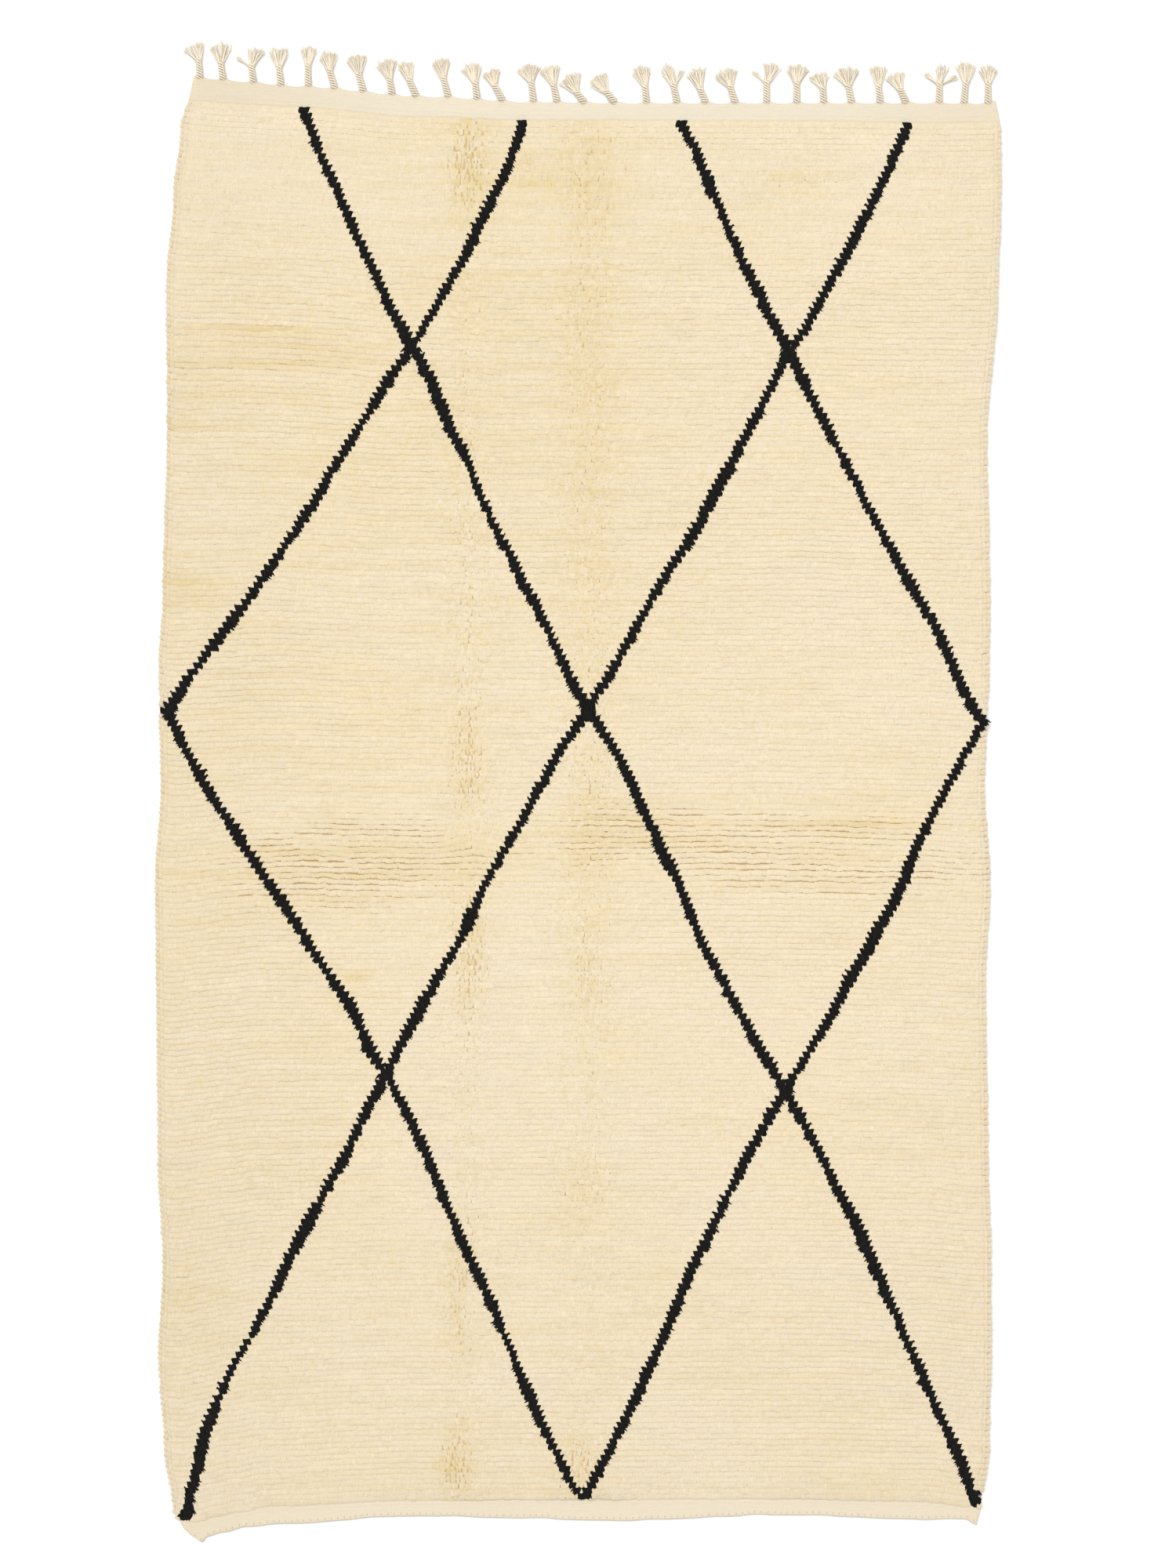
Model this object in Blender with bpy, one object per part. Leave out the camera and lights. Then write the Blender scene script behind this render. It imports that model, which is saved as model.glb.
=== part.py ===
"""Beni ourain rug: knotted wool pile on a woven ground, with a tasselled end, lying flat.

Metres, +Z up, the floor is z = 0. X runs across the rug and +Y runs toward the tassels.
The body is one solid: a slab with its knot rows raised as ribs and a thin flat-woven band
at each end. The fringe is the second solid: a narrow scalloped strip, parted from the
body, with 29 braided tassels rooted in it.
"""
import math
import random
from collections import namedtuple

import bmesh
import bpy
from mathutils import Matrix, Vector, noise

# ---------------------------------------------------------------- driving sizes (metres)
GAP = 0.0003                  # air between the body and the fringe strip

WEAVE_THICKNESS = 0.0045      # the bare flat-woven bands
PILE_HEIGHT = 0.0125          # floor to the crest of a knot row
GROOVE_DEPTH = 0.0022         # how far the wool dips between two rows
KNOT_ROWS = 250               # rows between the two bands, about 10.7 mm apart
CREST_PLACE = 0.30            # the pile leans to the plain end, so a crest stands near there
PILE_LUMP = 0.0013            # slow rise and fall of the pile
LUMP_LENGTH = 0.22            # length of one such rise
LOCK_REACH = 0.0018           # the locks at a row's two ends stand out from the ground
LOCK_UNEVEN = 0.0016          # and differ by this much from row to row
LOCK_NOISE_STEP = 0.73        # how fast that difference changes, for each row
LOCK_NOISE_SIDE = 9.1         # and it is unlike on the two sides
RIM_DROP = 0.0020             # the pile is lower along the two sides
RIM_POWER = 6                 # and drops only close to them

FRINGE_LEFT = -0.745          # corners of the tasselled end
FRINGE_RIGHT = 0.811
PLAIN_LEFT = -0.764           # corners of the plain end
PLAIN_RIGHT = 0.774

STRIP_WIDTH = 0.0080          # fringe strip, from the body's edge to a tassel's root
SCALLOP_DEPTH = 0.0050        # the strip draws back this far between two tassels
SCALLOP_SKEW = 0.58           # the deepest point, as a share of the way to the next tassel

NECK_HALF_WIDTH = 0.0052      # a braided neck, flat side
NECK_HALF_HEIGHT = 0.0040     # a braided neck, narrow side
NECK_FLATTEN = 0.8            # a braid lies a little flattened on the floor
NECK_STEPS = 5                # sections along a neck, one half turn in all
HEAD_LENGTH = 0.0035          # where the braid opens into the brush
HEAD_HALF_WIDTH = 0.0058
HEAD_HALF_HEIGHT = 0.0032
STRANDS = 8                   # loose strands in a brush, side by side on the floor
STRAND_GAP = 0.0006           # least air between two strands past their roots
STRAND_BEND = 0.45            # where along a strand its middle section sits
STRAND_FLARE = 1.22           # strands leave the head wider than they end
STRAND_MID_HALF_HEIGHT = 0.0021
STRAND_TIP_HALF_HEIGHT = 0.0015
STRAND_MAX_HALF_WIDTH = 0.0022
BRUSH_CROWN = 0.10            # outer strands end this much shorter than middle ones
BRUSH_RAGGED = 0.05           # and each one varies by this share
BRUSH_SEED = 29
UNIT_HALF = 0.5               # a grid starts one unit wide and long, before it is shaped
OUTWARD_FACING = 0.9          # least slope of a wall that looks toward the tassels

# ---------------------------------------------------------------- short tables (metres)
# The two long sides, by distance along the rug from its middle.
Side = namedtuple("Side", "along left right")
SIDES = (
    Side(along=-1.420, left=-0.772, right=0.778),
    Side(along=-1.380, left=-0.784, right=0.783),
    Side(along=-1.260, left=-0.801, right=0.797),
    Side(along=-1.080, left=-0.812, right=0.801),
    Side(along=-0.900, left=-0.804, right=0.801),
    Side(along=-0.700, left=-0.813, right=0.795),
    Side(along=-0.350, left=-0.817, right=0.790),
    Side(along=-0.160, left=-0.819, right=0.799),
    Side(along=0.020, left=-0.808, right=0.788),
    Side(along=0.260, left=-0.812, right=0.797),
    Side(along=0.380, left=-0.804, right=0.798),
    Side(along=0.690, left=-0.796, right=0.793),
    Side(along=0.990, left=-0.799, right=0.814),
    Side(along=1.170, left=-0.787, right=0.820),
    Side(along=1.295, left=-0.772, right=0.820),
    Side(along=1.390, left=-0.745, right=0.811),
)

# The two ends, by share of the width: the woven edge at the tassels, the knot row next to
# it, the last knot row, and the woven edge of the plain end.
End = namedtuple("End", "across fringe_edge first_row last_row plain_edge")
ENDS = (
    End(across=0.00, fringe_edge=1.389, first_row=1.345, last_row=-1.394, plain_edge=-1.434),
    End(across=0.02, fringe_edge=1.388, first_row=1.343, last_row=-1.402, plain_edge=-1.453),
    End(across=0.05, fringe_edge=1.384, first_row=1.340, last_row=-1.390, plain_edge=-1.428),
    End(across=0.12, fringe_edge=1.374, first_row=1.333, last_row=-1.378, plain_edge=-1.418),
    End(across=0.30, fringe_edge=1.353, first_row=1.313, last_row=-1.369, plain_edge=-1.401),
    End(across=0.42, fringe_edge=1.343, first_row=1.306, last_row=-1.367, plain_edge=-1.406),
    End(across=0.55, fringe_edge=1.341, first_row=1.306, last_row=-1.367, plain_edge=-1.411),
    End(across=0.76, fringe_edge=1.341, first_row=1.305, last_row=-1.369, plain_edge=-1.399),
    End(across=0.92, fringe_edge=1.341, first_row=1.301, last_row=-1.376, plain_edge=-1.408),
    End(across=1.00, fringe_edge=1.340, first_row=1.304, last_row=-1.386, plain_edge=-1.417),
)

# Lengthwise lines of the body, as shares of its width. The third and fourth run along the
# two old folds, where the wool stands a little higher.
COLUMNS = (0.0, 0.12, 0.37, 0.52, 0.76, 1.0)
Fold = namedtuple("Fold", "across half_width rise")
FOLDS = (
    Fold(across=0.37, half_width=0.06, rise=0.0022),
    Fold(across=0.52, half_width=0.07, rise=0.0020),
)

# The tassels, left to right: place of the root, lean of the neck in degrees from straight
# out (minus is left), length of the neck, headings of the brush's two edges, length of the
# brush, and the heading of a strand that lies away from the others, where there is one.
Tassel = namedtuple("Tassel", "root lean neck left right brush arm_left arm_right")
Tassel.__new__.__defaults__ = (None, None)
TASSELS = (
    Tassel(root=-0.733, lean=-4, neck=0.034, left=-52, right=14, brush=0.032),
    Tassel(root=-0.688, lean=-8, neck=0.032, left=-31, right=25, brush=0.036),
    Tassel(root=-0.629, lean=-8, neck=0.032, left=-20, right=40, brush=0.033, arm_left=-59),
    Tassel(root=-0.576, lean=-6, neck=0.035, left=-28, right=29, brush=0.035),
    Tassel(root=-0.523, lean=-1, neck=0.040, left=-16, right=22, brush=0.034),
    Tassel(root=-0.471, lean=-17, neck=0.035, left=-34, right=18, brush=0.034),
    Tassel(root=-0.416, lean=-15, neck=0.034, left=-37, right=18, brush=0.036),
    Tassel(root=-0.360, lean=-10, neck=0.029, left=-38, right=12, brush=0.038),
    Tassel(root=-0.313, lean=-24, neck=0.034, left=-38, right=8, brush=0.034),
    Tassel(root=-0.251, lean=-15, neck=0.037, left=-40, right=20, brush=0.036),
    Tassel(root=-0.195, lean=-8, neck=0.031, left=-38, right=12, brush=0.037),
    Tassel(root=-0.145, lean=-29, neck=0.033, left=-40, right=14, brush=0.030),
    Tassel(root=-0.086, lean=-7, neck=0.038, left=-46, right=24, brush=0.033),
    Tassel(root=-0.040, lean=-12, neck=0.033, left=-40, right=9, brush=0.036),
    Tassel(root=0.014, lean=-40, neck=0.024, left=-56, right=4, brush=0.037),
    Tassel(root=0.073, lean=-39, neck=0.027, left=-60, right=-3, brush=0.036),
    Tassel(root=0.133, lean=-4, neck=0.030, left=-33, right=10, brush=0.039),
    Tassel(root=0.193, lean=-12, neck=0.034, left=-37, right=1, brush=0.038, arm_right=24),
    Tassel(root=0.249, lean=-24, neck=0.028, left=-34, right=9, brush=0.039),
    Tassel(root=0.306, lean=-18, neck=0.033, left=-54, right=19, brush=0.033),
    Tassel(root=0.366, lean=1, neck=0.039, left=-15, right=37, brush=0.036, arm_left=-43),
    Tassel(root=0.425, lean=0, neck=0.037, left=-28, right=39, brush=0.034),
    Tassel(root=0.477, lean=-2, neck=0.028, left=-54, right=14, brush=0.029),
    Tassel(root=0.532, lean=-12, neck=0.033, left=-46, right=32, brush=0.036),
    Tassel(root=0.587, lean=-5, neck=0.031, left=-25, right=18, brush=0.037),
    Tassel(root=0.638, lean=-25, neck=0.028, left=-52, right=12, brush=0.032),
    Tassel(root=0.701, lean=2, neck=0.036, left=-8, right=27, brush=0.036,
           arm_left=-57, arm_right=68),
    Tassel(root=0.749, lean=6, neck=0.038, left=-24, right=26, brush=0.038),
    Tassel(root=0.796, lean=1, neck=0.038, left=-26, right=29, brush=0.031),
)

# ---------------------------------------------------------------- finishes
WOOL_CREAM = (0.86, 0.74, 0.54)
WARP_GREY_CREAM = (0.80, 0.70, 0.55)
WOOL_ROUGHNESS = 0.95

COLLECTION_NAME = "beni_ourain_rug"


# ---------------------------------------------------------------- reading the tables
def read_table(rows, key, column, at):
    """Value of a column at a place between two rows of a table, eased from row to row."""
    if at <= getattr(rows[0], key):
        return getattr(rows[0], column)
    for low, high in zip(rows, rows[1:]):
        start = getattr(low, key)
        end = getattr(high, key)
        if at <= end:
            share = (at - start) / (end - start)
            eased = share * share * (3.0 - 2.0 * share)
            first = getattr(low, column)
            return first + (getattr(high, column) - first) * eased
    return getattr(rows[-1], column)


def mix(first, second, share):
    return first + (second - first) * share


def side_x(along, across):
    """Place across the rug, between its two uneven long sides."""
    left = read_table(SIDES, "along", "left", along)
    right = read_table(SIDES, "along", "right", along)
    return mix(left, right, across)


def body_fringe_edge(across):
    """The body's own edge at the tasselled end, where the fringe strip is parted from it."""
    return read_table(ENDS, "across", "fringe_edge", across) - STRIP_WIDTH - GAP


def body_edge_at(x):
    """The same edge as the straight runs between the body's lengthwise lines."""
    share = (x - FRINGE_LEFT) / (FRINGE_RIGHT - FRINGE_LEFT)
    share = min(max(share, COLUMNS[0]), COLUMNS[-1])
    for low, high in zip(COLUMNS, COLUMNS[1:]):
        if share <= high:
            part = (share - low) / (high - low)
            return mix(body_fringe_edge(low), body_fringe_edge(high), part)
    return body_fringe_edge(COLUMNS[-1])


# ---------------------------------------------------------------- the body
def pile_top(x, y, across, on_crest):
    """Height of the wool at one place on a knot row or in the groove beside it."""
    swell = noise.noise(Vector((x / LUMP_LENGTH, y / LUMP_LENGTH, 0.0))) * PILE_LUMP
    for fold in FOLDS:
        reach = abs(across - fold.across) / fold.half_width
        swell += fold.rise * math.exp(-reach * reach)
    edge = abs(2.0 * across - 1.0)
    height = PILE_HEIGHT - RIM_DROP * edge ** RIM_POWER + swell
    return height if on_crest else height - GROOVE_DEPTH


def place_body_point(vert, across, line, last_line):
    """Put one point of the flat grid on the rug's top face.

    Line 0 is the plain end's edge and the last line is the body's edge at the fringe. The
    lines between them are groove, crest, groove, crest, up to the last groove.
    """
    if line == 0:
        vert.co = (mix(PLAIN_LEFT, PLAIN_RIGHT, across),
                   read_table(ENDS, "across", "plain_edge", across), WEAVE_THICKNESS)
        return
    if line == last_line:
        vert.co = (mix(FRINGE_LEFT, FRINGE_RIGHT, across), body_fringe_edge(across),
                   WEAVE_THICKNESS)
        return
    row, on_crest = divmod(line - 1, 2)
    share = (row + CREST_PLACE * on_crest) / KNOT_ROWS
    plain_side = read_table(ENDS, "across", "last_row", across)
    fringe_side = read_table(ENDS, "across", "first_row", across)
    y = mix(plain_side, fringe_side, share)
    x = side_x(y, across)
    in_pile = 1 < line < last_line - 1
    z = pile_top(x, y, across, on_crest) if in_pile else WEAVE_THICKNESS
    if on_crest and across in (COLUMNS[0], COLUMNS[-1]):
        outward = -1.0 if across == COLUMNS[0] else 1.0
        uneven = noise.noise(Vector((row * LOCK_NOISE_STEP, outward * LOCK_NOISE_SIDE, 0.0)))
        x += outward * (LOCK_REACH + LOCK_UNEVEN * uneven)
    vert.co = (x, y, z)


def shape_plain_corners(bm):
    """Cut the plain end's band at the places of the table and move its edge onto them."""
    band = [face for face in bm.faces
            if face.calc_center_median().y < 0.0
            and max(v.co.z for v in face.verts) <= WEAVE_THICKNESS + GAP]
    for end in ENDS[1:-1]:
        x = mix(PLAIN_LEFT, PLAIN_RIGHT, end.across)
        parts = {part for face in band for part in (face, *face.edges, *face.verts)}
        cut = bmesh.ops.bisect_plane(bm, geom=list(parts), dist=GAP,
                                     plane_co=(x, 0.0, 0.0), plane_no=(1.0, 0.0, 0.0))
        band = [part for part in cut["geom"] if isinstance(part, bmesh.types.BMFace)]
        on_cut = [part for part in cut["geom_cut"] if isinstance(part, bmesh.types.BMVert)]
        edge_point = min(on_cut, key=lambda v: v.co.y)
        edge_point.co.y = end.plain_edge


def build_body():
    """One closed solid: the grid is the top face, and its flat copy is the underside."""
    bm = bmesh.new()
    last_line = 2 * KNOT_ROWS + 2
    grid = bmesh.ops.create_grid(bm, x_segments=len(COLUMNS) - 1, y_segments=last_line,
                                 size=UNIT_HALF)
    for vert in grid["verts"]:
        column = round((vert.co.x + UNIT_HALF) * (len(COLUMNS) - 1))
        line = round((vert.co.y + UNIT_HALF) * last_line)
        place_body_point(vert, COLUMNS[column], line, last_line)
    shape_plain_corners(bm)

    under = bmesh.ops.extrude_face_region(bm, geom=bm.faces[:])["geom"]
    under_verts = [part for part in under if isinstance(part, bmesh.types.BMVert)]
    under_faces = {part for part in under if isinstance(part, bmesh.types.BMFace)}
    for vert in under_verts:
        if vert.co.z > WEAVE_THICKNESS + GAP:
            left_side = side_x(vert.co.y, COLUMNS[0])
            right_side = side_x(vert.co.y, COLUMNS[-1])
            vert.co.x = min(max(vert.co.x, left_side), right_side)
        vert.co.z = 0.0
    inner = [edge for edge in bm.edges
             if len(edge.link_faces) == 2 and all(f in under_faces for f in edge.link_faces)]
    bmesh.ops.dissolve_edges(bm, edges=inner, use_verts=False)
    bmesh.ops.recalc_face_normals(bm, faces=bm.faces)
    return bm


# ---------------------------------------------------------------- the fringe
def section(centre_xy, heading, half_width, half_height, roll=0.0, flatten=1.0):
    """Frame of one cross-section that rests on the floor: X across, Y along, Z up."""
    reach = abs(half_width * math.sin(roll)) + abs(half_height * math.cos(roll))
    return (Matrix.Translation((centre_xy[0], centre_xy[1], reach * flatten))
            @ Matrix.Rotation(-heading, 4, "Z")
            @ Matrix.Diagonal((1.0, 1.0, flatten, 1.0))
            @ Matrix.Rotation(roll, 4, "Y")
            @ Matrix.Diagonal((half_width, 1.0, half_height, 1.0)))


def extrude_through(bm, face, start, frames):
    """Draw one face out through a row of sections, and return the face at its end."""
    current = start
    for frame in frames:
        face = bmesh.ops.extrude_discrete_faces(bm, faces=[face])["faces"][0]
        bmesh.ops.transform(bm, matrix=frame @ current.inverted(), verts=face.verts[:])
        current = frame
    return face


def step_from(point, heading, distance):
    return (point[0] + math.sin(heading) * distance, point[1] + math.cos(heading) * distance)


def braid_neck(bm, face, start, root, tassel):
    """Twist the braid half a turn along its lean, then open it into the brush's head."""
    lean = math.radians(tassel.lean)
    frames = []
    for step in range(1, NECK_STEPS + 1):
        share = step / NECK_STEPS
        frames.append(section(step_from(root, lean, tassel.neck * share), lean,
                              NECK_HALF_WIDTH, NECK_HALF_HEIGHT, math.pi * share,
                              NECK_FLATTEN))
    head_xy = step_from(root, lean, tassel.neck + HEAD_LENGTH)
    head = section(head_xy, lean, HEAD_HALF_WIDTH, HEAD_HALF_HEIGHT, math.pi)
    frames.append(head)
    return extrude_through(bm, face, start, frames), head_xy, lean


def split_into_strands(bm, face, head_xy, lean):
    """Cut the head's end face upright into one cell for each strand, left to right."""
    cells = [face]
    across = Vector((math.cos(lean), -math.sin(lean), 0.0))
    pitch = 2.0 * HEAD_HALF_WIDTH / STRANDS
    for cut in range(1, STRANDS):
        offset = cut * pitch - HEAD_HALF_WIDTH
        place = Vector((head_xy[0], head_xy[1], 0.0)) + across * offset
        parts = {part for cell in cells for part in (cell, *cell.edges, *cell.verts)}
        split = bmesh.ops.bisect_plane(bm, geom=list(parts), dist=GAP / STRANDS,
                                       plane_co=place, plane_no=across)
        cells = [part for part in split["geom"] if isinstance(part, bmesh.types.BMFace)]
    return sorted(cells, key=lambda cell: cell.calc_center_median().dot(across))


def strand_headings(tassel):
    """Heading of each strand, left to right, and of any strand that lies apart."""
    headings = [math.radians(mix(tassel.left, tassel.right, (number + 0.5) / STRANDS))
                for number in range(STRANDS)]
    if tassel.arm_left is not None:
        headings[0] = math.radians(tassel.arm_left)
    if tassel.arm_right is not None:
        headings[-1] = math.radians(tassel.arm_right)
    return headings


def loose_brush(bm, cells, head_xy, lean, tassel, ragged):
    """Draw every cell out as one strand that widens as the brush fans open."""
    pitch = 2.0 * HEAD_HALF_WIDTH / STRANDS
    headings = strand_headings(tassel)
    middle = math.radians(mix(tassel.left, tassel.right, 0.5))
    for number, cell in enumerate(cells):
        heading = headings[number]
        fan = min(abs(heading - other) for other in
                  headings[max(number - 1, 0):number] + headings[number + 1:number + 2])
        offset = (number + 0.5) * pitch - HEAD_HALF_WIDTH
        root = (head_xy[0] + math.cos(lean) * offset, head_xy[1] - math.sin(lean) * offset)
        crown = offset / HEAD_HALF_WIDTH
        length = (tassel.brush - HEAD_LENGTH) * (1.0 - BRUSH_CROWN * crown * crown)
        length *= 1.0 + BRUSH_RAGGED * ragged.uniform(-1.0, 1.0)
        flared = mix(middle, heading, STRAND_FLARE)
        frames = []
        for share, toward, half_height in ((STRAND_BEND, flared, STRAND_MID_HALF_HEIGHT),
                                           (1.0, heading, STRAND_TIP_HALF_HEIGHT)):
            spacing = pitch * math.cos(toward - lean) + fan * length * share
            half_width = min((spacing - STRAND_GAP) / 2.0, STRAND_MAX_HALF_WIDTH)
            frames.append(section(step_from(root, toward, length * share), heading,
                                  half_width, half_height))
        start = section(root, lean, pitch / 2.0, HEAD_HALF_HEIGHT)
        extrude_through(bm, cell, start, frames)


def strip_stations():
    """Places along the strip's outer edge, with how far the scallop draws back at each."""
    stations = [(FRINGE_LEFT, 0.0)]
    for number, tassel in enumerate(TASSELS):
        stations.append((tassel.root - NECK_HALF_WIDTH, 0.0))
        stations.append((tassel.root + NECK_HALF_WIDTH, 0.0))
        if number + 1 < len(TASSELS):
            dip = mix(tassel.root, TASSELS[number + 1].root, SCALLOP_SKEW)
            stations.append((dip, SCALLOP_DEPTH))
    stations.append((FRINGE_RIGHT, 0.0))
    return stations


def root_edge(tassel_root):
    """The strip's outer edge at a tassel, square to the rug."""
    return body_edge_at(tassel_root) + GAP + STRIP_WIDTH


def build_fringe():
    """One closed solid: the strip first, then every tassel drawn out of its outer wall."""
    bm = bmesh.new()
    stations = strip_stations()
    grid = bmesh.ops.create_grid(bm, x_segments=len(stations) - 1, y_segments=1,
                                 size=UNIT_HALF)
    for vert in grid["verts"]:
        x, scallop = stations[round((vert.co.x + UNIT_HALF) * (len(stations) - 1))]
        nearest = min((tassel.root for tassel in TASSELS), key=lambda root: abs(root - x))
        if vert.co.y < 0.0:
            y = body_edge_at(x) + GAP
        elif scallop > 0.0:
            y = body_edge_at(x) + GAP + STRIP_WIDTH - scallop
        else:
            y = root_edge(nearest)
        vert.co = (x, y, 0.0)
    top = bmesh.ops.extrude_face_region(bm, geom=bm.faces[:])["geom"]
    raised = [part for part in top if isinstance(part, bmesh.types.BMVert)]
    bmesh.ops.translate(bm, vec=(0.0, 0.0, WEAVE_THICKNESS), verts=raised)
    bmesh.ops.recalc_face_normals(bm, faces=bm.faces)

    ragged = random.Random(BRUSH_SEED)
    for tassel in TASSELS:
        root = (tassel.root, root_edge(tassel.root))
        centre = Vector((root[0], root[1], WEAVE_THICKNESS / 2.0))
        walls = [face for face in bm.faces if face.normal.y > OUTWARD_FACING]
        wall = min(walls, key=lambda face: (face.calc_center_median() - centre).length)
        start = section(root, 0.0, NECK_HALF_WIDTH, WEAVE_THICKNESS / 2.0)
        face, head_xy, lean = braid_neck(bm, wall, start, root, tassel)
        cells = split_into_strands(bm, face, head_xy, lean)
        loose_brush(bm, cells, head_xy, lean, tassel, ragged)
        bm.normal_update()
    return bm


# ---------------------------------------------------------------- objects
def wool_material(name, colour):
    material = bpy.data.materials.new(name)
    material.use_nodes = True
    shader = material.node_tree.nodes["Principled BSDF"]
    shader.inputs["Base Color"].default_value = (*colour, 1.0)
    shader.inputs["Roughness"].default_value = WOOL_ROUGHNESS
    shader.inputs["Metallic"].default_value = 0.0
    material.diffuse_color = (*colour, 1.0)
    return material


def add_object(name, bm, material, collection):
    mesh = bpy.data.meshes.new(name)
    bm.to_mesh(mesh)
    bm.free()
    mesh.materials.append(material)
    collection.objects.link(bpy.data.objects.new(name, mesh))


def clear_scene():
    for old in list(bpy.data.objects):
        bpy.data.objects.remove(old, do_unlink=True)


def main():
    clear_scene()
    collection = bpy.data.collections.new(COLLECTION_NAME)
    bpy.context.scene.collection.children.link(collection)
    add_object("rug_body", build_body(), wool_material("wool_pile", WOOL_CREAM), collection)
    add_object("tassel_fringe", build_fringe(), wool_material("warp_yarn", WARP_GREY_CREAM),
               collection)


main()
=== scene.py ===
"""Looks of a beni ourain rug lying flat: knotted cream pile with a black diamond lattice,
woven bands at both ends and twisted tassels along one of them.

Metres, +Z up, the floor is z = 0. X runs across the rug and +Y runs toward the tassels.
"""
import math
from collections import namedtuple

import bmesh
import bpy
import numpy as np
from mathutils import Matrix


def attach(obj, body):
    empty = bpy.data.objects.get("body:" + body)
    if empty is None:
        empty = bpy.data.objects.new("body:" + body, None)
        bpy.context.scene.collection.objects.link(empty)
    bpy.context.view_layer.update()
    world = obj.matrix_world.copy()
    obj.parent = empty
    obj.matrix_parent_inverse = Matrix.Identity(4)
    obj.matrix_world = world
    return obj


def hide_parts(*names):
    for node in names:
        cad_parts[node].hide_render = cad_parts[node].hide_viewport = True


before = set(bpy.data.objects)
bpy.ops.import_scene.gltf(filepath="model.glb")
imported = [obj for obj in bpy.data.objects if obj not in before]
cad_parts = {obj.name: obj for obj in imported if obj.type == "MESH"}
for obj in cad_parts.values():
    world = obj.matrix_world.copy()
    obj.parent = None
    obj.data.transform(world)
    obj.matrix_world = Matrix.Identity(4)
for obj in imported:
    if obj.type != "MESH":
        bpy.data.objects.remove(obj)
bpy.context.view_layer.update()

FULL_TURN = 2.0 * math.pi


def named_rows(name, columns, rows, defaults=()):
    """A table: rows of values under named columns."""
    row_type = namedtuple(name, columns, defaults=defaults)
    return tuple(row_type(*row) for row in rows)


def linked(name, data):
    """A new object at the origin, in the scene."""
    made = bpy.data.objects.new(name, data)
    bpy.context.scene.collection.objects.link(made)
    return made


def from_bmesh(name, bm, material):
    mesh = bpy.data.meshes.new(name)
    bm.to_mesh(mesh)
    bm.free()
    mesh.materials.append(material)
    return linked(name, mesh)


# ---------------------------------------------------------------- sizes of the weaving (metres)
WEAVE_THICKNESS = 0.0045      # the bare flat-woven bands
SIDE_THICKNESS = 0.0022       # the ground thins to this at its edges,
SIDE_ROUND = 0.016            # within this distance of a long side
END_ROUND = 0.003             # or of an end
PILE_HEIGHT = 0.0125          # floor to the crest of a knot row
RIM_DROP = 0.0020             # the pile is this much thinner at its two long sides,
RIM_POWER = 6                 # and level until close to them
END_DROP = 0.0045             # it is this much thinner at its first and last rows,
END_ROWS = 6.0                # within this many rows
BED_BELOW = 0.0009            # root wool, felted between the knots, this far below the crest
BED_RISE = 0.012              # the bed comes up from the woven bands within this distance
PARTED_DROP = 0.0006          # where the rows part, bed and tips lie this much lower
KNOT_ROWS = 250

FRINGE_LEFT = -0.745          # corners of the tasselled end
FRINGE_RIGHT = 0.811
PLAIN_LEFT = -0.764           # corners of the plain end
PLAIN_RIGHT = 0.774
SCALLOP_DEPTH = 0.0062        # the edge draws back this far between two tassels
SCALLOP_SKEW = 0.55           # its deepest place, as a share of the way to the next tassel
CUSP = 0.0050                 # it reaches this far along a tassel's neck
SHEET_WIDTH = 1.60            # the woven ground laid out

# ---------------------------------------------------------------- sizes of the wool locks
CREAM_KNOT = 0.0062           # cream locks stand this far apart along a row
DARK_KNOT = 0.0034
LOCK_LENGTH = 0.0144          # root to tip, more than one row, so that tips cover roots
LOCK_RISE = 0.0022            # it stands up within this distance, then lies down
ROOT_BELOW = 0.0018           # its root is this far below the crest, inside the bed
CREAM_HALF_WIDTH = 0.0061
DARK_HALF_WIDTH = 0.0042
LOCK_HALF_HEIGHT = 0.00034
TIP_THIN = 0.40               # a lock thins to this share of its height at its tip
TIP_RISE = 0.00034            # and lies on the lock below it, this much higher
LOWEST = 0.0012               # no tip lies nearer to the floor than this
DARK_PROUD = 0.0008           # black locks are packed tighter and stand a little higher
ROOT_SHARE = 1.12             # a row's roots, in rows from its lower neighbour's groove
SEEN_REACH = 0.0076           # middle of the part of a lock that isn't covered
DARK_RUN_HALF = 0.0082        # half the black stretch of one row, its side locks left out
RIM_WIDTH = 0.020             # locks this near a long side turn outward over it
RIM_INSET = 0.0028
RIM_FALL = 0.0012             # their crests drop this much there,
RIM_TIP_FALL = 0.0028         # and their tips this much more,
RIM_TIP_ROWS = 2.0            # but less in these last rows
RIM_TURN = 0.50               # radians, how much they turn outward,
RIM_SHORTER = 0.26            # and this share shorter
LAST_ROWS = (0, 1, 2)         # the tips of the last rows come down to the woven band
LAST_FALLS = (0.0034, 0.0005, 0.0)
PILE_BANDS = 5                # the cream pile is made in five bands of rows
SEED = 250

# ---------------------------------------------------------------- short tables (metres)
# The long sides: a place along the rug, and the left and the right side's place across it.
SIDES = named_rows("Side", "along left right", (
    (-1.420, -0.772, 0.778),
    (-1.380, -0.784, 0.783),
    (-1.260, -0.801, 0.797),
    (-1.080, -0.812, 0.801),
    (-0.900, -0.804, 0.801),
    (-0.700, -0.813, 0.795),
    (-0.350, -0.817, 0.790),
    (-0.160, -0.819, 0.799),
    (0.020, -0.808, 0.788),
    (0.260, -0.812, 0.797),
    (0.380, -0.804, 0.798),
    (0.690, -0.796, 0.793),
    (0.990, -0.797, 0.814),
    (1.170, -0.783, 0.820),
    (1.295, -0.769, 0.820),
    (1.390, -0.745, 0.811),
))
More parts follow.
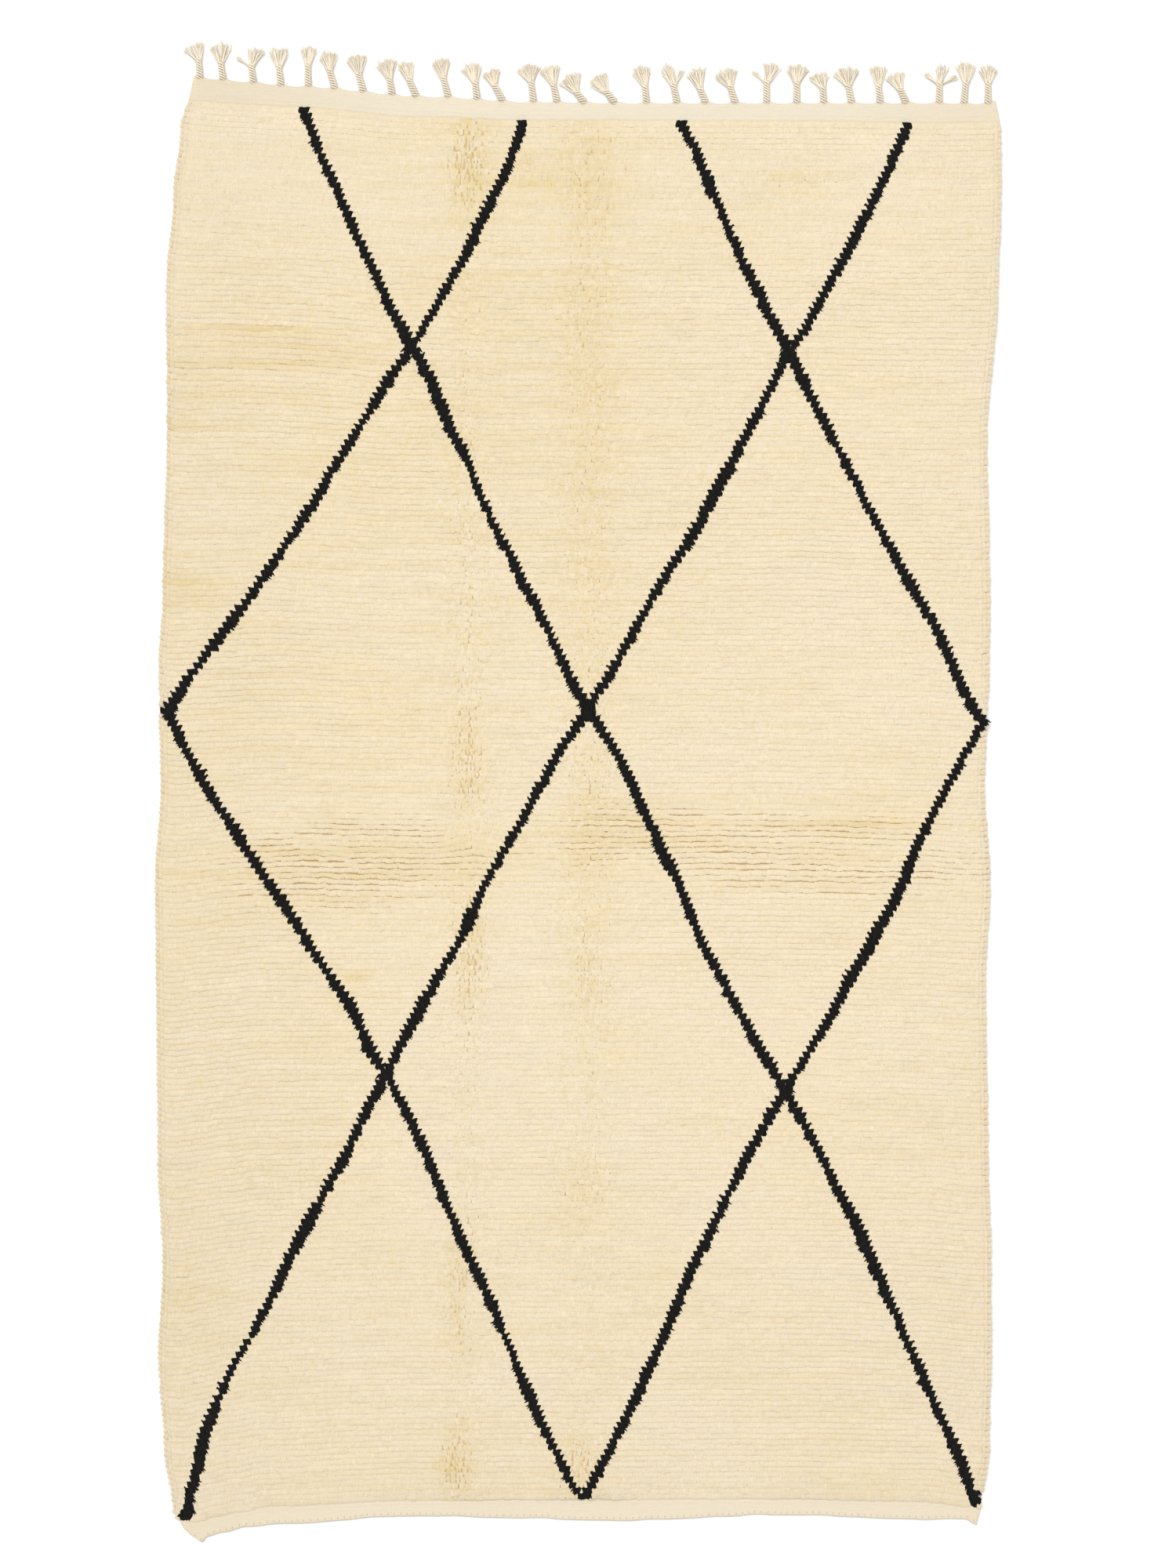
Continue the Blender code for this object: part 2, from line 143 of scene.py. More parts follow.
# The ends: a share of the way across, and the places along the rug of its edges and rows.
ENDS = named_rows("End", "across fringe_edge first_row last_row plain_edge", (
    (0.000, 1.389, 1.345, -1.407, -1.427),
    (0.010, 1.389, 1.344, -1.411, -1.440),
    (0.023, 1.388, 1.343, -1.411, -1.452),
    (0.029, 1.387, 1.342, -1.409, -1.441),
    (0.050, 1.384, 1.340, -1.401, -1.434),
    (0.080, 1.380, 1.337, -1.391, -1.423),
    (0.120, 1.374, 1.333, -1.380, -1.417),
    (0.30, 1.353, 1.313, -1.369, -1.401),
    (0.42, 1.343, 1.306, -1.367, -1.406),
    (0.55, 1.341, 1.306, -1.367, -1.411),
    (0.76, 1.341, 1.305, -1.366, -1.399),
    (0.92, 1.341, 1.301, -1.371, -1.408),
    (0.985, 1.340, 1.303, -1.381, -1.408),
    (1.000, 1.340, 1.304, -1.388, -1.419),
))
# Two old folds that stand a little proud.
FOLDS = named_rows("Fold", "across half_width rise", (
    (0.37, 0.06, 0.0022),
    (0.52, 0.07, 0.0020),
))

# The tassels, left to right: place of the root, lean of the neck in degrees from straight
# out (minus is left), length of the neck, headings of the brush's two edges, length of the
# brush, and the heading of a strand that lies away from the others, where there is one.
TASSELS = named_rows("Tassel", "root lean neck left right brush arm_left arm_right", (
    (-0.733, -4, 0.034, -52, 14, 0.032),
    (-0.688, -8, 0.032, -31, 25, 0.036),
    (-0.629, -8, 0.032, -20, 40, 0.033, -59),
    (-0.576, -6, 0.035, -28, 29, 0.035),
    (-0.523, -1, 0.040, -16, 22, 0.034),
    (-0.471, -17, 0.035, -34, 18, 0.034),
    (-0.416, -15, 0.034, -37, 18, 0.036),
    (-0.360, -10, 0.029, -38, 12, 0.038),
    (-0.313, -24, 0.034, -38, 8, 0.034),
    (-0.251, -15, 0.037, -40, 20, 0.036),
    (-0.195, -8, 0.031, -38, 12, 0.037),
    (-0.145, -29, 0.033, -40, 14, 0.030),
    (-0.086, -7, 0.038, -46, 24, 0.033),
    (-0.040, -12, 0.033, -40, 9, 0.036),
    (0.014, -40, 0.024, -56, 4, 0.037),
    (0.073, -39, 0.027, -60, -3, 0.036),
    (0.133, -4, 0.030, -33, 10, 0.039),
    (0.193, -12, 0.034, -37, 1, 0.038, None, 24),
    (0.249, -24, 0.028, -34, 9, 0.039),
    (0.306, -18, 0.033, -54, 19, 0.033),
    (0.366, 1, 0.039, -15, 37, 0.036, -43),
    (0.425, 0, 0.037, -28, 39, 0.034),
    (0.477, -2, 0.028, -54, 14, 0.029),
    (0.532, -12, 0.033, -46, 32, 0.036),
    (0.587, -5, 0.031, -25, 18, 0.037),
    (0.638, -25, 0.028, -52, 12, 0.032),
    (0.701, 2, 0.036, -8, 27, 0.036, -57, 68),
    (0.749, 6, 0.038, -24, 26, 0.038),
    (0.796, 1, 0.038, -26, 29, 0.031),
), defaults=(None, None))

# The black lattice. Its diamonds were knotted by eye, so every run between two crossings
# wanders a little. The places are in pixels of the photograph, and PIXEL makes them metres.
PIXEL = 0.00152
MIDDLE_PIXEL = (737.0, 1012.5)
UPPER_LEFT = (525, 442)
UPPER_RIGHT = (1006, 449)
LEFT_SIDE = (213, 908)
CENTRE = (751, 905)
RIGHT_SIDE = (1254, 922)
LOWER_LEFT = (493, 1369)
LOWER_RIGHT = (1001, 1391)
FOOT = (743, 1912)
RUNS = (
    ((387, 137), (408, 197), (427, 236), (452, 293), (476, 343), (499, 395), UPPER_LEFT),
    ((668, 151), (654, 196), (641, 225), (611, 289), (587, 337), (563, 381), UPPER_LEFT),
    ((868, 153), (891, 198), (908, 245), (932, 299), (952, 344), (983, 402), UPPER_RIGHT),
    ((1158, 157), (1137, 209), (1116, 250), (1089, 305), (1058, 362), (1027, 420),
     UPPER_RIGHT),
    (UPPER_LEFT, (492, 490), (436, 581), (396, 648), (331, 745), (284, 806), (243, 861),
     LEFT_SIDE),
    (UPPER_LEFT, (548, 484), (562, 511), (576, 549), (592, 576), (609, 627), (627, 664),
     (661, 730), (694, 794), (729, 867), CENTRE),
    (UPPER_RIGHT, (967, 524), (934, 590), (894, 663), (850, 733), (814, 795), (772, 870),
     CENTRE),
    (UPPER_RIGHT, (1042, 519), (1078, 590), (1118, 666), (1155, 737), (1197, 806),
     (1231, 883), RIGHT_SIDE),
    (LEFT_SIDE, (232, 945), (266, 1010), (302, 1064), (361, 1153), (404, 1219), (452, 1291),
     (482, 1358), LOWER_LEFT),
    (CENTRE, (711, 963), (668, 1041), (628, 1111), (589, 1194), (544, 1269), (520, 1318),
     LOWER_LEFT),
    (CENTRE, (793, 972), (835, 1062), (866, 1129), (898, 1207), (942, 1289), (973, 1345),
     LOWER_RIGHT),
    (RIGHT_SIDE, (1219, 983), (1175, 1067), (1143, 1144), (1107, 1210), (1068, 1280),
     (1032, 1341), LOWER_RIGHT),
    (LOWER_LEFT, (458, 1435), (439, 1478), (398, 1550), (357, 1631), (325, 1697),
     (290, 1755), (274, 1797), (258, 1838), (250, 1878), (240, 1916), (237, 1942)),
    (LOWER_LEFT, (526, 1432), (548, 1482), (583, 1567), (622, 1651), (653, 1729),
     (695, 1823), (728, 1891), FOOT),
    (LOWER_RIGHT, (964, 1455), (928, 1525), (887, 1608), (848, 1700), (811, 1780),
     (778, 1847), (756, 1891), FOOT),
    (LOWER_RIGHT, (1040, 1459), (1067, 1515), (1103, 1584), (1133, 1656), (1165, 1728),
     (1197, 1800), (1228, 1870), (1235, 1890), (1239, 1904), (1242, 1914), (1241, 1923)),
    ((1241, 1902), (1247, 1916)),
)

# Places where the wool is not even: its middle in pixels of the photograph, its half width
# and half length in metres, how yellow the wool is, how ruffled, and how far the rows part.
# The long thin yellow strips over the creases are painted shade in the gaps of parted rows.
PATCHES = named_rows("Patch", "across down wide long gold ruffle part", (
    (640, 420, 0.500, 0.750, 0.22, 0.00, 0.0),
    (300, 1100, 0.350, 0.900, 0.14, 0.00, 0.0),
    (597, 215, 0.040, 0.105, 0.56, 0.10, 0.0),
    (597, 203, 0.036, 0.072, 0.12, 0.76, 0.0),
    (680, 215, 0.060, 0.045, 0.40, 0.25, 0.0),
    (752, 215, 0.065, 0.120, 0.30, 0.20, 0.0),
    (750, 480, 0.055, 0.450, 0.30, 0.14, 0.0),
    (752, 1050, 0.050, 0.150, 0.20, 0.34, 0.3),
    (748, 1240, 0.035, 0.060, 0.32, 0.35, 0.0),
    (744, 1505, 0.045, 0.060, 0.32, 0.25, 0.0),
    (740, 1870, 0.050, 0.070, 0.35, 0.50, 0.0),
    (596, 975, 0.030, 0.100, 0.30, 0.50, 0.0),
    (585, 1065, 0.060, 0.055, 0.25, 0.00, 0.2),
    (602, 1220, 0.030, 0.100, 0.32, 0.45, 0.0),
    (584, 1640, 0.025, 0.120, 0.35, 0.40, 0.0),
    (580, 1860, 0.032, 0.060, 0.60, 0.70, 0.0),
    (596, 1000, 0.040, 1.500, 0.11, 0.35, 0.0),
    (750, 1000, 0.055, 1.500, 0.09, 0.27, 0.0),
    (450, 1085, 0.240, 0.085, 0.14, 0.00, 0.9),
    (470, 1078, 0.190, 0.010, 0.65, 0.00, 0.3),
    (360, 1083, 0.070, 0.012, 0.60, 0.00, 0.3),
    (440, 1112, 0.200, 0.009, 0.45, 0.00, 0.2),
    (400, 1125, 0.190, 0.060, 0.18, 0.00, 0.6),
    (820, 1045, 0.120, 0.045, 0.30, 0.00, 0.5),
    (960, 1062, 0.420, 0.065, 0.12, 0.00, 0.8),
    (1100, 1046, 0.160, 0.007, 0.45, 0.00, 0.4),
    (1080, 1110, 0.280, 0.050, 0.12, 0.00, 0.8),
    (350, 455, 0.230, 0.040, 0.22, 0.00, 0.3),
    (360, 458, 0.220, 0.0075, 0.85, 0.00, 0.4),
    (300, 414, 0.150, 0.0065, 0.75, 0.00, 0.2),
    (400, 436, 0.130, 0.005, 0.60, 0.00, 0.2),
    (250, 505, 0.090, 0.040, 0.30, 0.10, 0.2),
    (256, 540, 0.100, 0.008, 0.85, 0.00, 0.2),
    (235, 740, 0.060, 0.035, 0.40, 0.00, 0.0),
    (456, 1244, 0.025, 0.014, 0.55, 0.30, 0.0),
    (240, 1640, 0.070, 0.070, 0.30, 0.10, 0.1),
    (1010, 225, 0.090, 0.040, 0.30, 0.20, 0.0),
))

# How wide each run is, beside their mean.
RUN_WIDTHS = (1.02, 0.86, 0.93, 0.85, 0.98, 1.00, 0.97, 0.98, 1.04, 1.00, 0.97, 0.92, 1.02,
              0.91, 0.92, 1.00, 1.00)


def photo_place(pixel):
    """Metres across and along the rug of a place in the photograph."""
    return ((pixel[0] - MIDDLE_PIXEL[0]) * PIXEL, (MIDDLE_PIXEL[1] - pixel[1]) * PIXEL)


# ---------------------------------------------------------------- reading the tables
def eased(rows, key, column, at):
    """Values of a column at places between the rows of a table, eased from row to row."""
    keys = np.array([getattr(row, key) for row in rows])
    values = np.array([getattr(row, column) for row in rows])
    at = np.clip(np.asarray(at, float), keys[0], keys[-1])
    low = np.clip(np.searchsorted(keys, at, side="right") - 1, 0, len(keys) - 2)
    share = (at - keys[low]) / (keys[low + 1] - keys[low])
    share = share * share * (3.0 - 2.0 * share)
    return values[low] + (values[low + 1] - values[low]) * share


def mix(first, second, share):
    return first + (second - first) * share


def smooth(share):
    share = np.clip(share, 0.0, 1.0)
    return share * share * (3.0 - 2.0 * share)


def side_at(side, along):
    return eased(SIDES, "along", side, along)


def end_at(line, across):
    return eased(ENDS, "across", line, across)


def side_x(along, across):
    """Place across the rug, between its two uneven long sides."""
    return mix(side_at("left", along), side_at("right", along), across)


def across_of(x, along):
    left = side_at("left", along)
    return (x - left) / (side_at("right", along) - left)


WANDER_TABLES = 8
WANDER_CELLS = 64
wander_tables = np.random.default_rng(SEED).uniform(
    -1.0, 1.0, (WANDER_TABLES, WANDER_CELLS, WANDER_CELLS))


def wander(x, y, number):
    """Slow, smooth rise and fall between -1 and 1, one cell for each unit of x and y."""
    values = wander_tables[number]
    x, y = np.broadcast_arrays(np.asarray(x, float), np.asarray(y, float))
    column, row = np.floor(x).astype(int), np.floor(y).astype(int)
    u, v = smooth(x - column), smooth(y - row)
    here = [values[(row + down) % WANDER_CELLS, (column + right) % WANDER_CELLS]
            for down in (0, 1) for right in (0, 1)]
    return mix(mix(here[0], here[1], u), mix(here[2], here[3], u), v)


class Wave(namedtuple("Wave", "size long_x long_y shift_x shift_y table")):
    """A wander with its size, its length each way, and where in which table it starts."""

    def at(self, x, y):
        return wander(x / self.long_x + self.shift_x, y / self.long_y + self.shift_y,
                      self.table)


class RowWave(namedtuple("RowWave", "size long_x shift_x row_step table")):
    """One that goes on by a step of its own from each row to the next."""

    def at(self, x, rows):
        return wander(x / self.long_x + self.shift_x, rows * self.row_step, self.table)


class RunWave(namedtuple("RunWave", "size long_rows shift step table")):
    """One along a run of the lattice, its length in rows, and different for each run."""

    def at(self, rows, run):
        return wander(rows / self.long_rows + run * self.shift, run * self.step + 0.5,
                      self.table)


def rise(wave, x, y):
    return wave.size * wave.at(x, y)


def patch_sum(x, y, quality):
    """How yellow, ruffled or parted the wool is at each place, from 0 to 1."""
    left = np.ones(np.broadcast(x, y).shape)
    for patch in PATCHES:
        middle_x, middle_y = photo_place((patch.across, patch.down))
        reach = ((x - middle_x) / patch.wide) ** 2 + ((y - middle_y) / patch.long) ** 2
        left = left * (1.0 - getattr(patch, quality) * np.exp(-reach))
    return 1.0 - left


# ---------------------------------------------------------------- rows of knots
LUMPS = Wave(0.0013, 0.22, 0.22, 40.0, 40.0, 2)           # of the pile's crest
ROW_RIPPLE = Wave(0.0014, 0.075, 0.11, 9.0, 31.0, 0)      # of every row,
FINE_RIPPLE = Wave(0.0008, 0.013, 0.02, 3.0, 0.0, 4)
PARTED_RIPPLE = Wave(0.0026, 0.055, 0.06, 3.0, 17.0, 1)   # and of parted rows besides
PARTED_FINE = 1.6             # their fine ripple is more by this many times
STEADY_ENDS = 12.0            # the ripple dies out over 1 / 12 of the field at its ends
WHORL = (606, 1064)           # rows rise over this place, in pixels of the photograph
WHORL_RISE = 0.022
WHORL_REACH = 0.040
WHORL_STRETCH = 0.45          # its locks are this much longer, so that they still meet
FIELD_LENGTH = 2.69
PLACE_ROUNDS = 4              # rounds of closing in on a place of a row,
RUN_ROUNDS = 5                # and on the place where a run crosses it
RUN_WANDERS = (
    RunWave(0.0018, 4.5, 5.0, 2.9, 7),
    RunWave(0.0013, 2.3, 7.0, 1.7, 3),
    RunWave(0.0019, 1.1, 9.0, 1.3, 6),
)
RUN_SWELLS = (
    RunWave(0.34, 5.0, 5.0, 2.3, 4),
    RunWave(0.30, 1.3, 3.0, 3.1, 5),
)
RUN_LEAN = 0.30               # radians, the most that the locks of a run lean,
RUN_FULL_SHIFT = 0.004        # where it shifts this far from row to row
JOIN_GAP = 0.45               # stretches closer than this share of a cream knot are one


def row_place(share, across):
    """x and y of a place on the knotted field: share is 0 at the last row, 1 at the first."""
    y = mix(end_at("last_row", across), end_at("first_row", across), share)
    x = side_x(y, across)
    inside = smooth(share * STEADY_ENDS) * smooth((1.0 - share) * STEADY_ENDS)
    part = patch_sum(x, y, "part")
    ripple = rise(ROW_RIPPLE, x, y)
    ripple = ripple + PARTED_RIPPLE.size * part * PARTED_RIPPLE.at(x, y)
    ripple = ripple + FINE_RIPPLE.size * (1.0 + PARTED_FINE * part) * FINE_RIPPLE.at(x, y)
    return x, y + ripple * inside + WHORL_RISE * whorl_at(x, y)


def whorl_at(x, y):
    """1 in the middle of the whorl, and less around it."""
    whorl_x, whorl_y = photo_place(WHORL)
    return np.exp(-((x - whorl_x) ** 2 + (y - whorl_y) ** 2) / WHORL_REACH ** 2)


def across_at(share, x):
    """Share across the rug at which a row passes the place x."""
    across = np.full(np.shape(x), 0.5)
    for _ in range(PLACE_ROUNDS):
        across = across_of(x, row_place(share, across)[1])
    return across


def crest_height(x, y, across, share):
    """Height of the pile, with its slow lumps, two old folds and thinner edges."""
    folds = sum(fold.rise * np.exp(-((across - fold.across) / fold.half_width) ** 2)
                for fold in FOLDS)
    to_end = np.minimum(share, 1.0 - share) * KNOT_ROWS / END_ROWS
    return (PILE_HEIGHT + rise(LUMPS, x, y) + folds
            - RIM_DROP * np.abs(2.0 * across - 1.0) ** RIM_POWER
            - END_DROP * (1.0 - smooth(to_end)))


def crest_fall(x, y, across, share, reach):
    """How much lower the crest is where a lock that reaches this far ends."""
    further = np.clip(share - reach / FIELD_LENGTH, 0.0, 1.0)
    return crest_height(x, y, across, share) - crest_height(x, y - reach, across, further)


def run_places():
    """Centre of each run on each row, and how far it shifts from a row to the next one
    down. A place is nan where the run doesn't reach the row."""
    rows = np.arange(KNOT_ROWS)
    share = (rows + 0.5) / KNOT_ROWS
    centres, shifts = [], []
    for number, run in enumerate(RUNS):
        points = sorted((photo_place(pixel) for pixel in run), key=lambda point: point[1])
        xs = np.array([point[0] for point in points])
        ys = np.array([point[1] for point in points])
        across = np.full(KNOT_ROWS, 0.5)
        for _ in range(RUN_ROUNDS):
            x, y = row_place(share, across)
            x = np.interp(y, ys, xs)
            across = across_of(x, y)
        shift = np.zeros(KNOT_ROWS)
        shift[1:] = x[:-1] - x[1:]
        for wave in RUN_WANDERS:
            x = x + rise(wave, rows, number)
        reached = (y >= ys[0]) & (y <= ys[-1])
        centres.append(np.where(reached, x, np.nan))
        shifts.append(shift)
    return np.array(centres), np.array(shifts)


def run_halves():
    """Half the width of each run on each row: it swells, thins and steps as it goes."""
    rows = np.arange(KNOT_ROWS)
    halves = []
    for number, width in enumerate(RUN_WIDTHS):
        swell = 1.0
        for wave in RUN_SWELLS:
            swell = swell + rise(wave, rows, number)
        halves.append(DARK_RUN_HALF * width * swell)
    return np.array(halves)


def contrary_lean(shift):
    """The locks of a slanting run lean against its slant, which makes its sides jagged."""
    return RUN_LEAN * np.clip(shift / RUN_FULL_SHIFT, -1.0, 1.0)


def lattice_stretches():
    """For each row, its black stretches from left to right: start, end and lean."""
    stretches = []
    for row in range(KNOT_ROWS):
        found = []
        for run in range(len(RUNS)):
            centre, half = RUN_CENTRES[run, row], RUN_HALVES[run, row]
            if not math.isnan(centre):
                lean = float(contrary_lean(RUN_SHIFTS[run, row]))
                found.append((centre - half, centre + half, lean))
        stretches.append(joined_stretches(found))
    return stretches


def joined_stretches(found):
    """Stretches that meet, as at a crossing, are one, and it doesn't lean."""
    joined = []
    for start, end, lean in sorted(found):
        if joined and start < joined[-1][1] + JOIN_GAP * CREAM_KNOT:
            joined[-1] = (joined[-1][0], max(joined[-1][1], end), 0.0)
        else:
            joined.append((start, end, lean))
    return joined


RUN_CENTRES, RUN_SHIFTS = run_places()
RUN_HALVES = run_halves()
BLACK_STRETCHES = lattice_stretches()


# ---------------------------------------------------------------- one lock, many times
Pattern = namedtuple("Pattern", "co corners starts flat creases cells")
END_FACING = 0.95             # a face that looks this much along the strand is its end
DOWN_FACING = -0.5            # and one that looks this much down is its underside
CAP_PLACES = (0.03, 0.97)     # in the strand's own cell of the map: its two end faces,
CAP_SPREAD = (0.3, 0.02)
WALL_FROM = 0.08              # its sides, as strips side by side,
WALL_LENGTH = 0.84
STRIP_FROM = 0.04
STRIP_WIDTH = 0.92
CELL_FROM = 0.03              # and the room that is left between cells
CELL_WIDTH = 0.94


def strand_pattern(sides, sections, root_point, tip_point):
    """A straight strand drawn once: x across, z up, and y counts its sections."""
    bm = bmesh.new()
    ring = bmesh.ops.create_circle(bm, cap_ends=True, segments=sides, radius=1.0)["verts"]
    for number, vert in enumerate(ring):
        turn = math.pi / 2.0 + FULL_TURN * number / sides
        vert.co = (math.cos(turn), 0.0, math.sin(turn))
    face = bm.faces[:][0]
    first = ring
    for _ in range(sections):
        face = bmesh.ops.extrude_discrete_faces(bm, faces=[face])["faces"][0]
        bmesh.ops.translate(bm, vec=(0.0, 1.0, 0.0), verts=face.verts[:])
    last = face.verts[:]
    if root_point:
        bmesh.ops.pointmerge(bm, verts=first, merge_co=(0.0, 0.0, 0.0))
    if tip_point:
        bmesh.ops.pointmerge(bm, verts=last, merge_co=(0.0, float(sections), 0.0))
    if not root_point:
        ends = [edge for edge in bm.edges if edge.is_boundary]
        if ends:
            bmesh.ops.holes_fill(bm, edges=ends, sides=0)
    bmesh.ops.recalc_face_normals(bm, faces=bm.faces)
    bm.normal_update()
    bm.verts.index_update()
    co = np.array([vert.co for vert in bm.verts])
    corners, starts, flat, cells = [], [], [], []
    for number, face in enumerate(bm.faces):
        starts.append(len(corners))
        middle = face.calc_center_median()
        is_end = abs(face.normal.y) > END_FACING
        underside = sides == 3 and face.normal.z < DOWN_FACING
        flat.append(is_end or underside)
        strip = cell_strip(middle, sides)
        for vert in face.verts:
            corners.append(vert.index)
            cells.append(cell_place(vert.co, strip, sides, sections, is_end, middle))
    creases = crease_table(bm, flat)
    bm.free()
    return Pattern(co, np.array(corners), np.array(starts), np.array(flat), creases,
                   np.array(cells))


def crease_table(bm, flat):
    """Pairs of points between which a strand has a hard edge: those of its flat faces."""
    table = np.zeros((len(bm.verts), len(bm.verts)), bool)
    for face, is_flat in zip(bm.faces, flat):
        for edge in face.edges if is_flat else ():
            first, second = (vert.index for vert in edge.verts)
            table[first, second] = table[second, first] = True
    return table


def turn_of(point):
    """Share of a full turn round a strand, from its ridge."""
    return (math.atan2(point.z, point.x) / FULL_TURN - 0.25) % 1.0


def cell_strip(middle, sides):
    return int(turn_of(middle) * sides)


def cell_place(point, strip, sides, sections, is_end, middle):
    """Place of one corner in the strand's own cell of the map: side by side strips."""
    if is_end:
        cap = CAP_PLACES[middle.y > sections / 2.0]
        return (0.5 + CAP_SPREAD[0] * point.x, cap + CAP_SPREAD[1] * point.z)
    along = WALL_FROM + WALL_LENGTH * point.y / sections
    if math.hypot(point.x, point.z) < 0.5:
        return ((strip + 0.5) / sides, along)
    part = round(turn_of(point) * sides) - strip
    if part < 0 or part > 1:
        part = 1 if part < 0 else 0
    return ((strip + STRIP_FROM + STRIP_WIDTH * part) / sides, along)


def grow(name, pattern, centres, headings, half_widths, half_heights, marks, material):
    """One mesh of many strands. Row n of each array gives strand n, section by section."""
    count = len(centres)
    ring = np.rint(pattern.co[:, 1]).astype(int)
    right = np.stack([np.cos(headings), -np.sin(headings), np.zeros_like(headings)], axis=-1)
    co = centres[:, ring] + right[:, ring] * (half_widths[:, ring]
                                              * pattern.co[:, 0])[..., None]
    co[..., 2] += half_heights[:, ring] * pattern.co[:, 2]
    points = len(pattern.co)
    corners = pattern.corners[None, :] + points * np.arange(count)[:, None]
    starts = pattern.starts[None, :] + len(pattern.corners) * np.arange(count)[:, None]
    mesh = bpy.data.meshes.new(name)
    mesh.vertices.add(co.shape[0] * co.shape[1])
    mesh.vertices.foreach_set("co", co.astype(np.float32).ravel())
    mesh.loops.add(corners.size)
    mesh.loops.foreach_set("vertex_index", corners.astype(np.int32).ravel())
    mesh.polygons.add(starts.size)
    mesh.polygons.foreach_set("loop_start", starts.astype(np.int32).ravel())
    mesh.update(calc_edges=True)
    sharp = mesh.attributes.new("sharp_face", "BOOLEAN", "FACE")
    sharp.data.foreach_set("value", np.tile(pattern.flat, count))
    pairs = np.empty(2 * len(mesh.edges), np.int32)
    mesh.edges.foreach_get("vertices", pairs)
    pairs = pairs.reshape(-1, 2) % points
    hard = mesh.attributes.new("sharp_edge", "BOOLEAN", "EDGE")
    hard.data.foreach_set("value", pattern.creases[pairs[:, 0], pairs[:, 1]])
    for mark, values in marks.items():
        values = np.broadcast_to(values[:, ring] if values.ndim == 2 else values[:, None],
                                 (count, points))
        attribute = mesh.attributes.new(mark, "FLOAT", "POINT")
        attribute.data.foreach_set("value", values.astype(np.float32).ravel())
    lay_out_cells(mesh, pattern, count)
    mesh.materials.append(material)
    return linked(name, mesh)


def lay_out_cells(mesh, pattern, count):
    """A map in which each strand has a cell of its own, in a square table of cells."""
    side = math.ceil(math.sqrt(count))
    number = np.arange(count)
    corner = np.stack([number % side, number // side], axis=-1)
    cells = (corner[:, None, :] + CELL_FROM + CELL_WIDTH * pattern.cells[None, :, :]) / side
    layer = mesh.uv_layers.new(name="OFBake")
    layer.data.foreach_set("uv", cells.astype(np.float32).ravel())


# ---------------------------------------------------------------- materials
class Wire:
    """One value in a material. Arithmetic on it in Python becomes Math nodes."""

    def __init__(self, recipe, socket):
        self.recipe = recipe
        self.socket = socket

    def maths(self, operation, first, second=0.0):
        return self.recipe.node("ShaderNodeMath", {"operation": operation},
                                {0: first, 1: second})

    def __add__(self, other):
        return self.maths("ADD", self, other)

    def __sub__(self, other):
        return self.maths("SUBTRACT", self, other)

    def __mul__(self, other):
        return self.maths("MULTIPLY", self, other)

    def __rsub__(self, other):
        return self.maths("SUBTRACT", other, self)

    __radd__ = __add__
    __rmul__ = __mul__

    def step(self, low, high):
        """0 below low, 1 above high and smooth between them."""
        return self.recipe.node("ShaderNodeMapRange", {"interpolation_type": "SMOOTHSTEP"},
                                {"Value": self, "From Min": low, "From Max": high})

    def band(self, low, high, fade_low, fade_high):
        """1 between two places, with its rise and its fade each given by two."""
        return self.step(low, high) * (1.0 - self.step(fade_low, fade_high))

    def swing(self, amount):
        """Noise, which lies about 0.5, as a change about 0 of this amount."""
        return (self - 0.5) * amount

    def sine(self):
        return self.maths("SINE", self)


class Recipe:
    """The node tree of one material."""

    def __init__(self, name, roughness, specular, sheen):
        self.material = bpy.data.materials.new(name)
        self.material.use_nodes = True
        self.tree = self.material.node_tree
        self.shader = self.tree.nodes["Principled BSDF"]
        self.shader.inputs["Roughness"].default_value = roughness
        self.shader.inputs["Specular IOR Level"].default_value = specular
        self.shader.inputs["Sheen Weight"].default_value = sheen
        self.shader.inputs["Sheen Roughness"].default_value = SHEEN_ROUGHNESS

    def feed(self, socket, value):
        if isinstance(value, Wire):
            self.tree.links.new(value.socket, socket)
        else:
            socket.default_value = value

    def node(self, kind, settings=None, inputs=None, output=0):
        made = self.tree.nodes.new(kind)
        for key, value in (settings or {}).items():
            setattr(made, key, value)
        for key, value in (inputs or {}).items():
            self.feed(made.inputs[key], value)
        return Wire(self, made.outputs[output])

    def place(self):
        return self.node("ShaderNodeTexCoord", output="Object")

    def axis(self, name):
        return self.node("ShaderNodeSeparateXYZ", {}, {0: self.place()}, output=name)

    def stretched(self, scale):
        return self.node("ShaderNodeMapping", {}, {"Vector": self.place(), "Scale": scale})

    def noise(self, scale, detail=2.0, roughness=0.5):
        """Noise with its own number of waves in a metre along each direction."""
        return self.node("ShaderNodeTexNoise", {},
                         {"Vector": self.stretched(scale), "Scale": 1.0, "Detail": detail,
                          "Roughness": roughness})

    def mark(self, name):
        return self.node("ShaderNodeAttribute", {"attribute_name": name}, output="Fac")

    def blend(self, share, first, second, way="MIX"):
        """Mix of two colours. The Mix node keeps its colour sockets at 6 and 7."""
        return self.node("ShaderNodeMix", {"data_type": "RGBA", "blend_type": way},
                         {0: share, 6: first, 7: second}, output=2)

    def shade(self, colour, amount):
        """A colour made lighter or darker by a factor."""
        return self.blend(1.0, colour, amount, "MULTIPLY")

    def bump(self, height, depth, strength=0.6):
        return self.node("ShaderNodeBump", {},
                         {"Height": height, "Distance": depth, "Strength": strength})

    def finish(self, colour, normal):
        self.feed(self.shader.inputs["Base Color"], colour)
        self.feed(self.shader.inputs["Normal"], normal)
        return self.material


